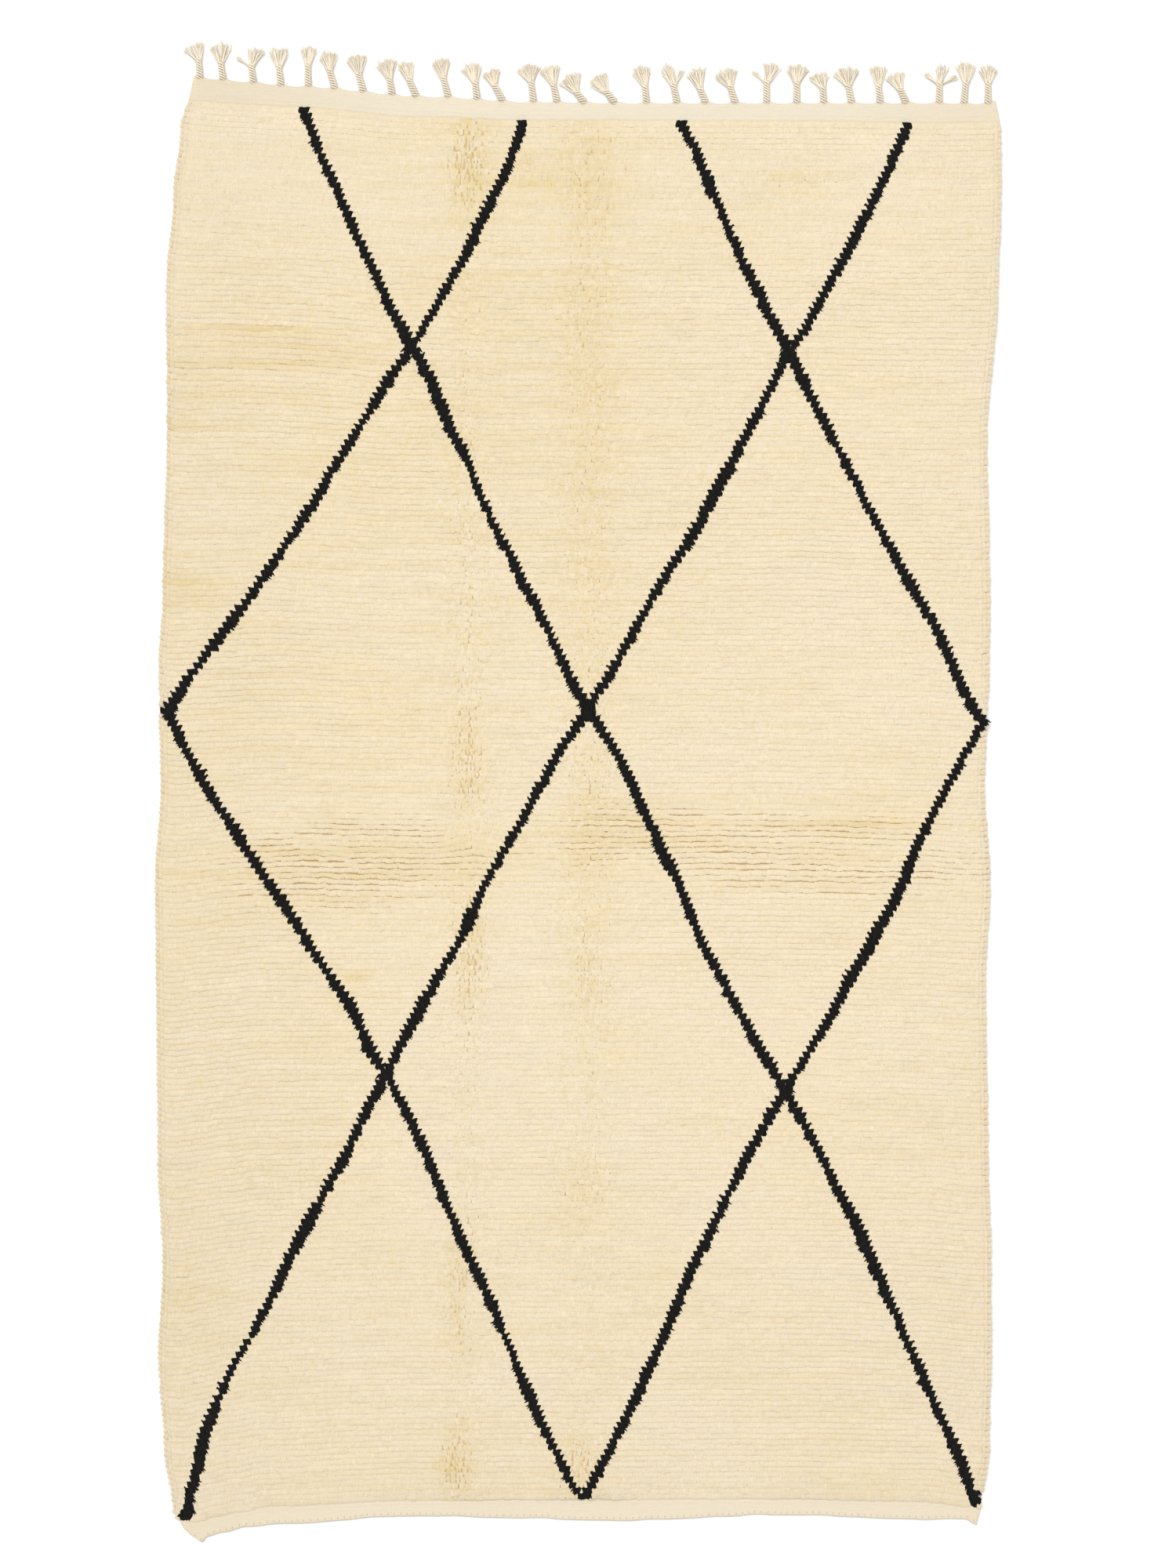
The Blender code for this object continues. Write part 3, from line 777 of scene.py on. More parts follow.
CREAM = (0.699, 0.607, 0.452, 1.0)
GOLD = (0.615, 0.488, 0.250, 1.0)
# root wool's own yellow, also used to paint the warm shade in the gaps between rows
ROOT_GOLD_AND_GAP_SHADE = (0.610, 0.440, 0.220, 1.0)
# painted shade in the gaps where the rows part
PARTED_GAP_SHADE_GOLD = (0.500, 0.330, 0.150, 1.0)
BLACK = (0.0085, 0.0082, 0.0078, 1.0)
WEAVE = (0.724, 0.646, 0.509, 1.0)
YARN = (0.728, 0.650, 0.515, 1.0)
YARN_HAIR = (0.280, 0.230, 0.170, 1.0)
FLOOR = (0.90, 0.90, 0.90, 1.0)
WOOL_ROUGHNESS = 0.92
SHEEN_ROUGHNESS = 0.6
FIBRE_DEPTH = 0.0004          # of the bumps of fibres and weave
DARK_FIBRE_DEPTH = 0.0005
FLOOR_GRAIN_DEPTH = 0.0002
WEFT_PITCH = 0.0026
WEFT_WAVER = 0.004
WARP_PITCH = 0.0042
LOOP_PITCH = 0.0125           # closed warp loops along the plain end,
LOOP_ROW = (0.003, 0.005, 0.006, 0.009)    # in a row this far from its edge
SHADOW_LINE = (0.008, 0.010, 0.010, 0.012)        # a fine painted shadow line in the bands, this far from the pile
MEETING = (0.0018, 0.0042)    # a slight shade where they meet the pile
FRINGE_SHADE = (0.0005, 0.0040)            # and along the edge that the tassels leave


def greyness(recipe):
    """The wool is a little darker toward the plain end and toward both long sides."""
    to_plain = (0.0 - recipe.axis("Y")).step(0.1, 1.3)
    to_left = (0.0 - recipe.axis("X")).step(0.35, 0.80)
    to_right = recipe.axis("X").step(0.50, 0.85)
    return to_plain * 0.042 + to_left * 0.028 + to_right * 0.012


def cream_wool():
    """Undyed pile: yellower toward the roots and in worn patches, with fibres along it.
    The roots' gold is partly their own and partly painted shade between the rows, and darker
    gold at the tips is mostly painted shadow under them, partly the cut ends' own colour.
    """
    recipe = Recipe("cream_wool", WOOL_ROUGHNESS, 0.15, 0.10)
    broad = recipe.noise((2.6, 4.0, 2.6), detail=3.0)
    wide_streaks = recipe.noise((2.6, 42.0, 2.6))
    fine_streaks = recipe.noise((6.0, 150.0, 6.0))
    specks = recipe.noise((230.0, 170.0, 190.0), detail=3.0, roughness=0.6)
    dashes = recipe.noise((26.0, 420.0, 26.0))
    flecks = recipe.noise((300.0, 240.0, 300.0), detail=1.0).step(0.60, 0.72)
    fibres = recipe.noise((1300.0, 110.0, 500.0))
    streaks = wide_streaks * 0.5 + fine_streaks * 0.5
    gold = recipe.mark("gold") * (streaks * 1.7 + 0.10) + 0.14
    gold = gold + streaks.swing(1.3) + broad.swing(0.80) + specks.swing(0.45)
    colour = recipe.blend(gold * 0.85, CREAM, GOLD)
    # Partly painted shade: roots show just below the row above, so their gold is partly the
    # root wool's own and partly the warm shade of the gap between rows.
    roots = 1.0 - recipe.mark("tip").step(0.0, 0.55)
    colour = recipe.blend(roots * 0.45, colour, ROOT_GOLD_AND_GAP_SHADE)
    # Painted shadow: darker gold at the tips draws the line under each row's tips, besides some
    # of the cut ends' own darker colour.
    ends = recipe.mark("tip").step(0.80, 0.97) * specks.step(0.30, 0.62)
    light = recipe.mark("tone") + specks.swing(0.22) + fibres.swing(0.16) + 1.0
    light = light + fine_streaks.swing(0.12) + dashes.swing(0.14) + broad.swing(0.06)
    colour = recipe.blend(ends * 0.42, colour, ROOT_GOLD_AND_GAP_SHADE)
    colour = recipe.blend(flecks * 0.50, colour, ROOT_GOLD_AND_GAP_SHADE)
    colour = recipe.shade(colour, light - greyness(recipe))
    return recipe.finish(colour, recipe.bump(fibres, FIBRE_DEPTH))


def black_wool():
    recipe = Recipe("black_wool", WOOL_ROUGHNESS, 0.06, 0.02)
    fibres = recipe.noise((1300.0, 160.0, 500.0))
    light = recipe.mark("tone") * 3.0 + fibres.swing(0.6) + 1.0
    colour = recipe.shade(BLACK, light)
    return recipe.finish(colour, recipe.bump(fibres, DARK_FIBRE_DEPTH))


def woven_ground():
    """Weft-faced bands with fine ribs, and the yellower root wool that shows in the pile,
    whose colour partly paints the shade in the gaps between the rows.
    """
    recipe = Recipe("woven_ground", WOOL_ROUGHNESS, 0.15, 0.08)
    across = recipe.axis("X")
    along = recipe.axis("Y")
    waver = recipe.noise((14.0, 30.0, 14.0))
    weft = ((along + waver * WEFT_WAVER) * (FULL_TURN / WEFT_PITCH)).sine()
    slubs = recipe.noise((60.0, 520.0, 60.0), detail=3.0)
    warp = (across * (FULL_TURN / WARP_PITCH) + weft * 0.6).sine()
    cloudy = recipe.noise((9.0, 16.0, 9.0), detail=3.0)
    specks = recipe.noise((260.0, 260.0, 260.0), detail=3.0)
    light = 0.98 + cloudy.swing(0.09) + slubs.swing(0.12) + specks.swing(0.10)

    loops = (across * (FULL_TURN / LOOP_PITCH) + waver * 9.0).sine().step(0.55, 0.95)
    light = light - loops * recipe.mark("from_plain").band(*LOOP_ROW) * 0.22
    light = light - (1.0 - recipe.mark("from_fringe").step(*FRINGE_SHADE)) * 0.10
    from_pile = recipe.mark("from_pile")
    meeting = 1.0 - from_pile.step(*MEETING)
    # Painted shade: a fine shadow line in the bands near the pile, and a slight shade where
    # they meet it.
    light = light - from_pile.band(*SHADOW_LINE) * 0.03 - meeting * slubs.step(0.30, 0.60) * 0.05
    dim = greyness(recipe)
    near_fringe = along.step(0.0, 0.5)
    corners = (0.0 - across).step(0.20, 0.80) * 0.72 + across.step(0.30, 0.85) * 0.45
    light = light - dim * 0.25 - corners * near_fringe * 0.016
    under = recipe.mark("under_pile")
    yellow = dim * 14.0 + corners * near_fringe + cloudy.swing(1.2)
    colour = recipe.blend(yellow, WEAVE, CREAM)
    colour = recipe.blend(under, colour, CREAM)
    # Root wool between the locks: its own yellow, partly painted warm shade in the gaps, and a
    # browner painted shade where the rows part.
    rooted = under * recipe.mark("from_side").step(0.006, 0.020)
    colour = recipe.blend(rooted, colour, ROOT_GOLD_AND_GAP_SHADE)
    colour = recipe.blend(rooted * recipe.mark("parted").step(0.1, 0.7), colour, PARTED_GAP_SHADE_GOLD)
    colour = recipe.shade(colour, light)
    height = weft * 0.5 + slubs + warp * 0.25
    return recipe.finish(colour, recipe.bump(height, FIBRE_DEPTH))


def warp_yarn():
    """Plied warp ends, greyer than the pile, with a few dark hairs spun in."""
    recipe = Recipe("warp_yarn", WOOL_ROUGHNESS, 0.12, 0.08)
    hairs = recipe.noise((420.0, 190.0, 420.0)).step(0.62, 0.72)
    cloudy = recipe.noise((60.0, 60.0, 60.0))
    fibres = recipe.noise((1500.0, 500.0, 1500.0))
    # The tone mark holds each yarn's own tone and also painted light and shade by height.
    light = recipe.mark("tone") + cloudy.swing(0.14) + fibres.swing(0.16) + 1.0
    colour = recipe.blend(hairs * 0.40, recipe.shade(YARN, light), YARN_HAIR)
    return recipe.finish(colour, recipe.bump(fibres, FIBRE_DEPTH, 0.7))


def floor_paint():
    recipe = Recipe("floor_paint", 0.9, 0.1, 0.0)
    grain = recipe.noise((40.0, 40.0, 40.0))
    colour = recipe.shade(FLOOR, 1.0 + grain.swing(0.01))
    return recipe.finish(colour, recipe.bump(grain, FLOOR_GRAIN_DEPTH, 0.1))


# ---------------------------------------------------------------- the woven ground
GROUND_COLUMNS = 230
EDGE_COLUMNS = (0.0, 0.0010, 0.0028)
INNER_COLUMNS = (0.0060, 0.9940)
BAND_LINES = (0.0, 0.03, 0.08, 0.16, 0.28, 0.42, 0.58, 0.76, 0.9)
END_LINES = (0.0, 0.0012, 0.0025, 0.005, 0.008, 0.011, 0.014, 0.017, 0.020, 0.024)
FIELD_LINES = 43
FIELD_SPAN = (1.03, 1.97)
UNIT_HALF = 0.5
UNDERSIDE = 0.0
EDGE_RIPPLE = Wave(0.0018, 0.042, 1.0, 0.0, 0.0, 5)       # of the plain end's edge
EDGE_RIPPLE_ROW = 0.5
SCALLOP_FULLNESS = 0.7        # less than 1 makes the arcs fuller than a sine's
GROUND_MARKS = ("from_plain", "from_fringe", "from_pile", "under_pile", "from_side", "parted")


def ground_columns():
    inner = np.linspace(*INNER_COLUMNS, GROUND_COLUMNS - 2 * len(EDGE_COLUMNS))
    return np.concatenate([EDGE_COLUMNS, inner, [1.0 - edge for edge in EDGE_COLUMNS[::-1]]])


def ground_lines():
    """Places along the ground: 0 to 1 the plain band, 1 to 2 the field, 2 to 3 the other."""
    band = np.array(BAND_LINES)
    near_end = np.array(END_LINES)
    return np.concatenate([band, 1.0 + near_end, np.linspace(*FIELD_SPAN, FIELD_LINES),
                           2.0 - near_end[:0:-1], [2.0], 3.0 - band[::-1]])


def scallop(x):
    """How far the tasselled edge draws back at each place, in shallow arcs."""
    depth = np.zeros_like(x)
    roots = [tassel.root for tassel in TASSELS]
    for left, right in zip(roots, roots[1:]):
        share = (x - left) / (right - left)
        inside = (share > 0.0) & (share < 1.0)
        skewed = np.clip(share, 0.0, 1.0) ** (math.log(0.5) / math.log(SCALLOP_SKEW))
        arc = np.sin(math.pi * skewed) ** SCALLOP_FULLNESS
        depth = np.where(inside, SCALLOP_DEPTH * arc, depth)
    return depth - CUSP


def rounded(inward, within):
    """0 at an edge and 1 inside it, as a quarter of a round."""
    return math.sqrt(1.0 - (1.0 - min(inward / within, 1.0)) ** 2)


def ground_place(across, line):
    """A place on the ground's upper side, and its distances from edges and pile."""
    plain_edge = float(end_at("plain_edge", across))
    last_row = float(end_at("last_row", across))
    first_row = float(end_at("first_row", across))
    edge_x = float(mix(FRINGE_LEFT, FRINGE_RIGHT, across))
    plain_edge += EDGE_RIPPLE.size * float(EDGE_RIPPLE.at(edge_x, EDGE_RIPPLE_ROW))
    fringe_edge = float(end_at("fringe_edge", across) - scallop(np.array([edge_x]))[0])
    if line <= 1.0:
        y = mix(plain_edge, last_row, line)
        x = mix(mix(PLAIN_LEFT, PLAIN_RIGHT, across), float(side_x(last_row, across)), line)
    elif line <= 2.0:
        y = mix(last_row, first_row, line - 1.0)
        x = float(side_x(y, across))
    else:
        y = mix(first_row, fringe_edge, line - 2.0)
        x = mix(float(side_x(first_row, across)), edge_x, line - 2.0)
    into_pile = min(y - last_row, first_row - y)
    lift = float(smooth(into_pile / BED_RISE)) if 1.0 < line < 2.0 else 0.0
    share = min(max(line - 1.0, 0.0), 1.0)
    bed = float(crest_height(x, y, across, share)) - BED_BELOW
    parted = float(patch_sum(x, y, "part"))
    inward = min(across, 1.0 - across) * SHEET_WIDTH
    bed = bed - PARTED_DROP * parted - RIM_TIP_FALL * float(smooth(1.0 - inward / RIM_WIDTH))
    end_inward = min(y - plain_edge, fringe_edge - y)
    edge = rounded(inward, SIDE_ROUND) * rounded(end_inward, END_ROUND)
    top = mix(SIDE_THICKNESS, mix(WEAVE_THICKNESS, bed, lift), edge)
    marks = {"from_plain": y - plain_edge, "from_fringe": fringe_edge - y,
             "from_pile": max(y - first_row, last_row - y), "under_pile": lift,
             "from_side": inward, "parted": parted}
    return (x, y, top), marks


def build_ground(material):
    """A closed sheet: the grid is its upper face, and a flat copy is the underside."""
    columns = ground_columns()
    lines = ground_lines()
    bm = bmesh.new()
    layers = {mark: bm.verts.layers.float.new(mark) for mark in GROUND_MARKS}
    grid = bmesh.ops.create_grid(bm, x_segments=len(columns) - 1, y_segments=len(lines) - 1,
                                 size=UNIT_HALF)
    for vert in grid["verts"]:
        column = round((vert.co.x + UNIT_HALF) * (len(columns) - 1))
        line = round((vert.co.y + UNIT_HALF) * (len(lines) - 1))
        vert.co, marks = ground_place(columns[column], lines[line])
        for mark, value in marks.items():
            vert[layers[mark]] = value
    under = bmesh.ops.extrude_face_region(bm, geom=bm.faces[:])["geom"]
    for vert in under:
        if isinstance(vert, bmesh.types.BMVert):
            vert.co.z = UNDERSIDE
    bmesh.ops.recalc_face_normals(bm, faces=bm.faces)
    for face in bm.faces:
        face.smooth = True
    return from_bmesh("ground_cloth", bm, material)


# ---------------------------------------------------------------- the pile
CLOSE_FROM = 0.86             # toward the fringe the tips lie closer, so rows show less,
CLOSE_OVER = 0.10             # over this share of the field,
CLOSE_SHARES = (0.80, 0.35)   # most at the left side
CLOSE_MARK = 0.18             # and they count as this much further from their ends
STRAIGHT_DOWN = math.pi       # heading toward the plain end. A larger one turns left
LEAST_STRETCH = 0.3           # a cream stretch shorter than this many knots has none
LEAN_REACH = 0.010            # cream locks this near a run lean with it
PART_GAIN = 1.3               # how far rows part, with its mean, and its wave from row to row
PART_MEAN = 0.85
PART_WAVE = RowWave(0.5, 0.15, 11.0, 1.9, 2)
CLUMP = 0.0080                # in ruffled wool the locks cling together this far apart
CLUMP_PULL = 0.44             # share of the way to the clump's middle
CLUMP_TURN = 0.40             # radians, and each clump turns by a step of its own
CLUMP_STEP = 0.73
CLUMP_TURN_LENGTH = 0.021
CLUMP_DRIFT = Wave(0.9, 0.045, 0.035, 0.0, 0.0, 6)
CLUMP_FINE_DRIFT = Wave(0.5, 0.02, 0.014, 0.0, 0.0, 7)
HEADING_DRIFT = Wave(0.08, 0.16, 0.22, 5.0, 5.0, 6)
LENGTH_WAVE = RowWave(0.035, 0.024, 2.0, 3.7, 0)
TIP_WAVE = RowWave(0.60, 0.035, 7.0, 1.3, 3)
TIP_FINE_WAVE = RowWave(0.60, 0.014, 7.0, 2.7, 5)
TIP_BROAD_WAVE = Wave(0.45, 0.30, 0.24, 3.0, 3.0, 2)
TONE_WAVE = RowWave(0.014, 0.05, 0.0, 0.9, 5)

# How much the locks differ, and how many times more in wool that is all ruffled.
Scatter = namedtuple("Scatter", "spread ruffled")
ROOT_ACROSS = Scatter(0.0004, 1.0)
ROOT_ALONG = Scatter(0.0003, 6.0)
LOCK_TURN = Scatter(0.06, 1.5)
LOCK_CURL = Scatter(0.07, 1.5)
LOCK_CREST = Scatter(0.00005, 6.0)
LOCK_GOLD = Scatter(0.07, 3.0)
LOCK_LENGTHS = Scatter(0.032, 2.0)
TIP_SPREAD = 0.00005
WIDTH_SPREAD = 0.05
HEIGHT_SPREAD = 0.10
TONE_SPREAD = 0.009
PARTED_EVEN = 0.5             # parted rows are this much more even,
PARTED_SHORTER = 0.30         # and shorter
RUFFLED_LONGER = 0.12         # and ruffled locks are longer,
RUFFLED_NARROWER = 0.50       # narrower, most of all at their tips,
RUFFLED_TIP = 0.62
RUFFLED_THICKER = 0.8         # and thicker
ROOT_WIDTH = 0.6              # shares of a lock's width
TIP_WIDTH = 0.92
CREAM_TIP_MARKS = (0.0, 0.35, 1.0)         # how near to the tip each section is


def scattered(draw, scatter, ruffle):
    spread = draw.normal(0.0, scatter.spread, len(ruffle))
    return spread * (1.0 + scatter.ruffled * ruffle)


def row_sides(row):
    """The two ends of a row's roots."""
    share = (row + ROOT_SHARE) / KNOT_ROWS
    left_y = float(row_place(share, np.array(0.0))[1])
    right_y = float(row_place(share, np.array(1.0))[1])
    return (float(side_x(left_y, 0.0)), float(side_x(right_y, 1.0)))


def spaced(start, end, pitch):
    """Even places between two ends, half a pitch from each."""
    number = max(1, round((end - start) / pitch))
    return start + (np.arange(number) + 0.5) / number * (end - start)


def cream_places():
    """Row number and place across the row of every cream lock."""
    rows, xs = [], []
    for row, black in enumerate(BLACK_STRETCHES):
        left, right = row_sides(row)
        cuts = [left + RIM_INSET]
        for start, end, lean in black:
            aside = SEEN_REACH * math.sin(lean)
            cuts += [start + aside, end + aside]
        cuts.append(right - RIM_INSET)
        for start, end in zip(cuts[::2], cuts[1::2]):
            if end - start > LEAST_STRETCH * CREAM_KNOT:
                places = spaced(start, end, CREAM_KNOT)
                rows.append(np.full(len(places), row))
                xs.append(places)
    rows = np.concatenate(rows)
    return rows, across_at((rows + ROOT_SHARE) / KNOT_ROWS, np.concatenate(xs))


def lean_beside_runs(x, rows):
    """Cream locks beside a black run lean as its own do."""
    lean = np.zeros_like(x)
    for centre, shift, half in zip(RUN_CENTRES, RUN_SHIFTS, RUN_HALVES):
        apart = np.maximum(np.abs(x - centre[rows]) - half[rows], 0.0)
        near = np.where(np.isnan(apart), 0.0, np.exp(-apart / LEAN_REACH))
        lean = lean + near * contrary_lean(shift[rows])
    return np.clip(lean, -RUN_LEAN, RUN_LEAN)


def lock_centres(x, y, headings, lengths, heights, up, steps):
    """Centre line of each lock: up out of the bed within a distance, then along its
    headings to the tip. Each step gives a share of the lying length."""
    count = len(x)
    centres = np.zeros((count, len(steps) + 2, 3))
    centres[:, 0] = np.stack([x, y, heights - ROOT_BELOW], axis=-1)
    centres[:, 1, 0] = x + np.sin(headings[:, 0]) * up
    centres[:, 1, 1] = y + np.cos(headings[:, 0]) * up
    centres[:, 1, 2] = heights
    done = 0.0
    for number, share in enumerate(steps):
        reach = (lengths - up) * (share - done)
        here = headings[:, number + 1]
        centres[:, number + 2, 0] = centres[:, number + 1, 0] + np.sin(here) * reach
        centres[:, number + 2, 1] = centres[:, number + 1, 1] + np.cos(here) * reach
        centres[:, number + 2, 2] = heights
        done = share
    return centres


def clump_pull(x, y, ruffle):
    """Where the wool is ruffled, locks cling to the middle of their clump."""
    phase = x / CLUMP + (rise(CLUMP_DRIFT, x, y) + rise(CLUMP_FINE_DRIFT, x, y))
    number = np.floor(phase)
    off = phase - number - 0.5
    turn = wander(number * CLUMP_STEP + 0.5, y / CLUMP_TURN_LENGTH, 1)
    return -off * CLUMP * CLUMP_PULL * ruffle, CLUMP_TURN * turn * ruffle


def parted_and_ruffled(x, y, rows):
    """How far the rows part at each lock, and how ruffled it is."""
    part = patch_sum(x, y, "part")
    ruffle = patch_sum(x, y, "ruffle") * (1.0 - part)
    uneven = np.clip(PART_MEAN + rise(PART_WAVE, x, rows), 0.0, 1.0)
    return smooth(PART_GAIN * part) * uneven, ruffle


def cream_lengths(draw, x, y, rows, part, ruffle):
    jitter = draw.normal(0.0, LOCK_LENGTHS.spread, len(x))
    jitter = jitter * (1.0 + LOCK_LENGTHS.ruffled * ruffle - PARTED_EVEN * part)
    uneven = rise(LENGTH_WAVE, x, rows) * (1.0 - PARTED_EVEN * part)
    return LOCK_LENGTH * (1.0 + jitter + uneven - PARTED_SHORTER * part
                          + RUFFLED_LONGER * ruffle
                          + WHORL_STRETCH * whorl_at(x, y - 0.5 * WHORL_RISE))


def cream_marks(draw, x, y, rows, ruffle, close):
    tips = np.tile(CREAM_TIP_MARKS, (len(x), 1))
    tips[:, 2] -= CLOSE_MARK * close
    tone = draw.normal(0.0, TONE_SPREAD, len(x)) + rise(TONE_WAVE, x, rows)
    gold = patch_sum(x, y, "gold") + scattered(draw, LOCK_GOLD, ruffle)
    return {"tip": tips, "tone": tone, "gold": gold}


def build_cream_pile(material):
    """Blunt locks in close rows, each row's tips lying over the roots of the next."""
    draw = np.random.default_rng(SEED + 1)
    rows, across = cream_places()
    number = len(rows)
    share = (rows + ROOT_SHARE) / KNOT_ROWS
    x, y = row_place(share, across)
    part, ruffle = parted_and_ruffled(x, y, rows)
    aside, turn = clump_pull(x, y, ruffle)
    x = x + aside + scattered(draw, ROOT_ACROSS, ruffle)
    y = y + scattered(draw, ROOT_ALONG, ruffle)
    heading = (STRAIGHT_DOWN + rise(HEADING_DRIFT, x, y) + turn + lean_beside_runs(x, rows)
               + scattered(draw, LOCK_TURN, ruffle))
    curl = scattered(draw, LOCK_CURL, ruffle)
    headings = np.stack([heading, heading, heading + curl], axis=-1)
    lengths = cream_lengths(draw, x, y, rows, part, ruffle)
    heights = crest_height(x, y, across, share) - LOCK_HALF_HEIGHT
    heights = heights + scattered(draw, LOCK_CREST, ruffle)
    close = smooth((share - CLOSE_FROM) / CLOSE_OVER) * mix(*CLOSE_SHARES, across)
    resting = TIP_RISE * (1.0 + rise(TIP_WAVE, x, rows) + rise(TIP_FINE_WAVE, x, rows)
                          + rise(TIP_BROAD_WAVE, x, y)) * (1.0 - close)
    tip_drop = (PARTED_DROP * part - resting * (1.0 - ruffle)
                + draw.normal(0.0, TIP_SPREAD, number))
    tip_drop = tip_drop + np.interp(rows, LAST_ROWS, LAST_FALLS)

    to_rim = np.minimum(across, 1.0 - across) * SHEET_WIDTH
    outward = np.where(across < 0.5, 1.0, -1.0)
    rim = smooth(1.0 - to_rim / RIM_WIDTH)
    headings = headings + (outward * rim * RIM_TURN)[:, None]
    lengths = lengths * (1.0 - RIM_SHORTER * rim)
    heights = heights - RIM_FALL * rim
    tip_drop = tip_drop + RIM_TIP_FALL * rim * smooth(rows / RIM_TIP_ROWS)

    tip_drop = tip_drop + crest_fall(x, y, across, share, lengths)
    centres = lock_centres(x, y, headings, lengths, heights, LOCK_RISE, [1.0])
    lowest = np.where(rows == 0, WEAVE_THICKNESS + LOCK_HALF_HEIGHT, LOWEST)
    centres[:, 2, 2] = np.maximum(centres[:, 2, 2] - tip_drop, lowest)
    centres[rows == KNOT_ROWS - 1, 0, 2] = WEAVE_THICKNESS - LOCK_HALF_HEIGHT
    wide = CREAM_HALF_WIDTH * (1.0 + draw.normal(0.0, WIDTH_SPREAD, number))
    wide = wide * (1.0 - RUFFLED_NARROWER * ruffle)
    half_widths = np.stack([wide * ROOT_WIDTH, wide,
                            wide * (TIP_WIDTH - RUFFLED_TIP * ruffle)], axis=-1)
    high = LOCK_HALF_HEIGHT * (1.0 + draw.normal(0.0, HEIGHT_SPREAD, number))
    high = high * (1.0 + RUFFLED_THICKER * ruffle)
    half_heights = np.stack([high, high, high * TIP_THIN], axis=-1)
    marks = cream_marks(draw, x, y, rows, ruffle, close)
    pattern = strand_pattern(3, 2, root_point=True, tip_point=False)
    pieces = []
    for band in range(PILE_BANDS):
        chosen = (rows * PILE_BANDS) // KNOT_ROWS == band
        pieces.append(grow(f"cream_pile_{band + 1}", pattern, centres[chosen],
                           headings[chosen], half_widths[chosen], half_heights[chosen],
                           {mark: values[chosen] for mark, values in marks.items()},
                           material))
    return pieces


# The end locks of a black stretch fan out: how far in from its end each is rooted, and its
# share of the splay.
FAN = ((0.0008, 1.0), (0.0020, 0.70), (0.0032, 0.40))
UPPER_SPLAY = 0.90            # the upper corner of a stretch points along the row
UPPER_LENGTH = (0.08, 0.42)
UPPER_RISE = 0.0014
LOWER_SPLAY = 0.84            # its lower corner points aside and down
UNSPLAYED = (0.30, 0.55)      # share of the lower and upper corners that stay straight
SPLAY_SPREAD = (0.74, 0.60)   # mean and spread of the splay from one stretch to the next
BLUNT_ROWS = 2                # the first rows don't splay, so that the runs start blunt
MOST_SPLAY = 1.3
CORE, UPPER, LOWER = 0, 1, 2
DARK_ACROSS = 0.0003          # how much the black locks differ
DARK_ALONG = 0.0004
DARK_TURN = 0.06
SPLAYED_TURN = 2.2            # splayed ones turn this many times more
DARK_CURL = 0.12
DARK_LENGTHS = 0.05
DARK_CREST = 0.00010
DARK_WIDTHS = 0.07
DARK_TONES = 0.05
SPLAYED_PROUD = 0.0003        # they stand this much higher than the rest
SPLAYED_WIDTH = 0.80
DARK_STEPS = (0.72, 1.0)      # shares of the lying length
DARK_SHOULDER = 0.95          # width at the first of them, of the lock's full width,
SPLAYED_SHOULDER = 0.40
DARK_POINT = 0.08             # and at the tip
DARK_THICKNESS = 1.5
DARK_TIP_THIN = 0.3
DARK_TIP_MARKS = (0.0, 0.25, 0.8, 1.0)


def dark_places():
    """Row, place across the row, heading off straight down, and kind of every black lock."""
    draw = np.random.default_rng(SEED + 4)
    rows, xs, turns, kinds = [], [], [], []
    for row, black in enumerate(BLACK_STRETCHES):
        left, right = row_sides(row)
        for start, end, lean in black:
            aside = SEEN_REACH * math.sin(lean)
            ends = (max(start, left) + aside, min(end, right) + aside)
            core = spaced(*ends, DARK_KNOT)
            places, bends, sorts = list(core), [lean] * len(core), [CORE] * len(core)
            for side, place in ((-1.0, ends[0]), (1.0, ends[1])):
                kind = UPPER if side * lean > 0.0 else LOWER
                splay = UPPER_SPLAY if kind == UPPER else LOWER_SPLAY
                open_up = float(np.clip(draw.normal(*SPLAY_SPREAD), 0.0, MOST_SPLAY))
                if row >= KNOT_ROWS - BLUNT_ROWS or draw.random() < UNSPLAYED[kind == UPPER]:
                    open_up = 0.0
                for inward, share in FAN:
                    places.append(place - side * inward)
                    bends.append(mix(lean, -side * splay * open_up, share))
                    sorts.append(kind)
            rows += [row] * len(places)
            xs += places
            turns += bends
            kinds += sorts
    rows = np.array(rows)
    across = across_at((rows + ROOT_SHARE) / KNOT_ROWS, np.array(xs))
    return rows, across, np.array(turns), np.array(kinds)


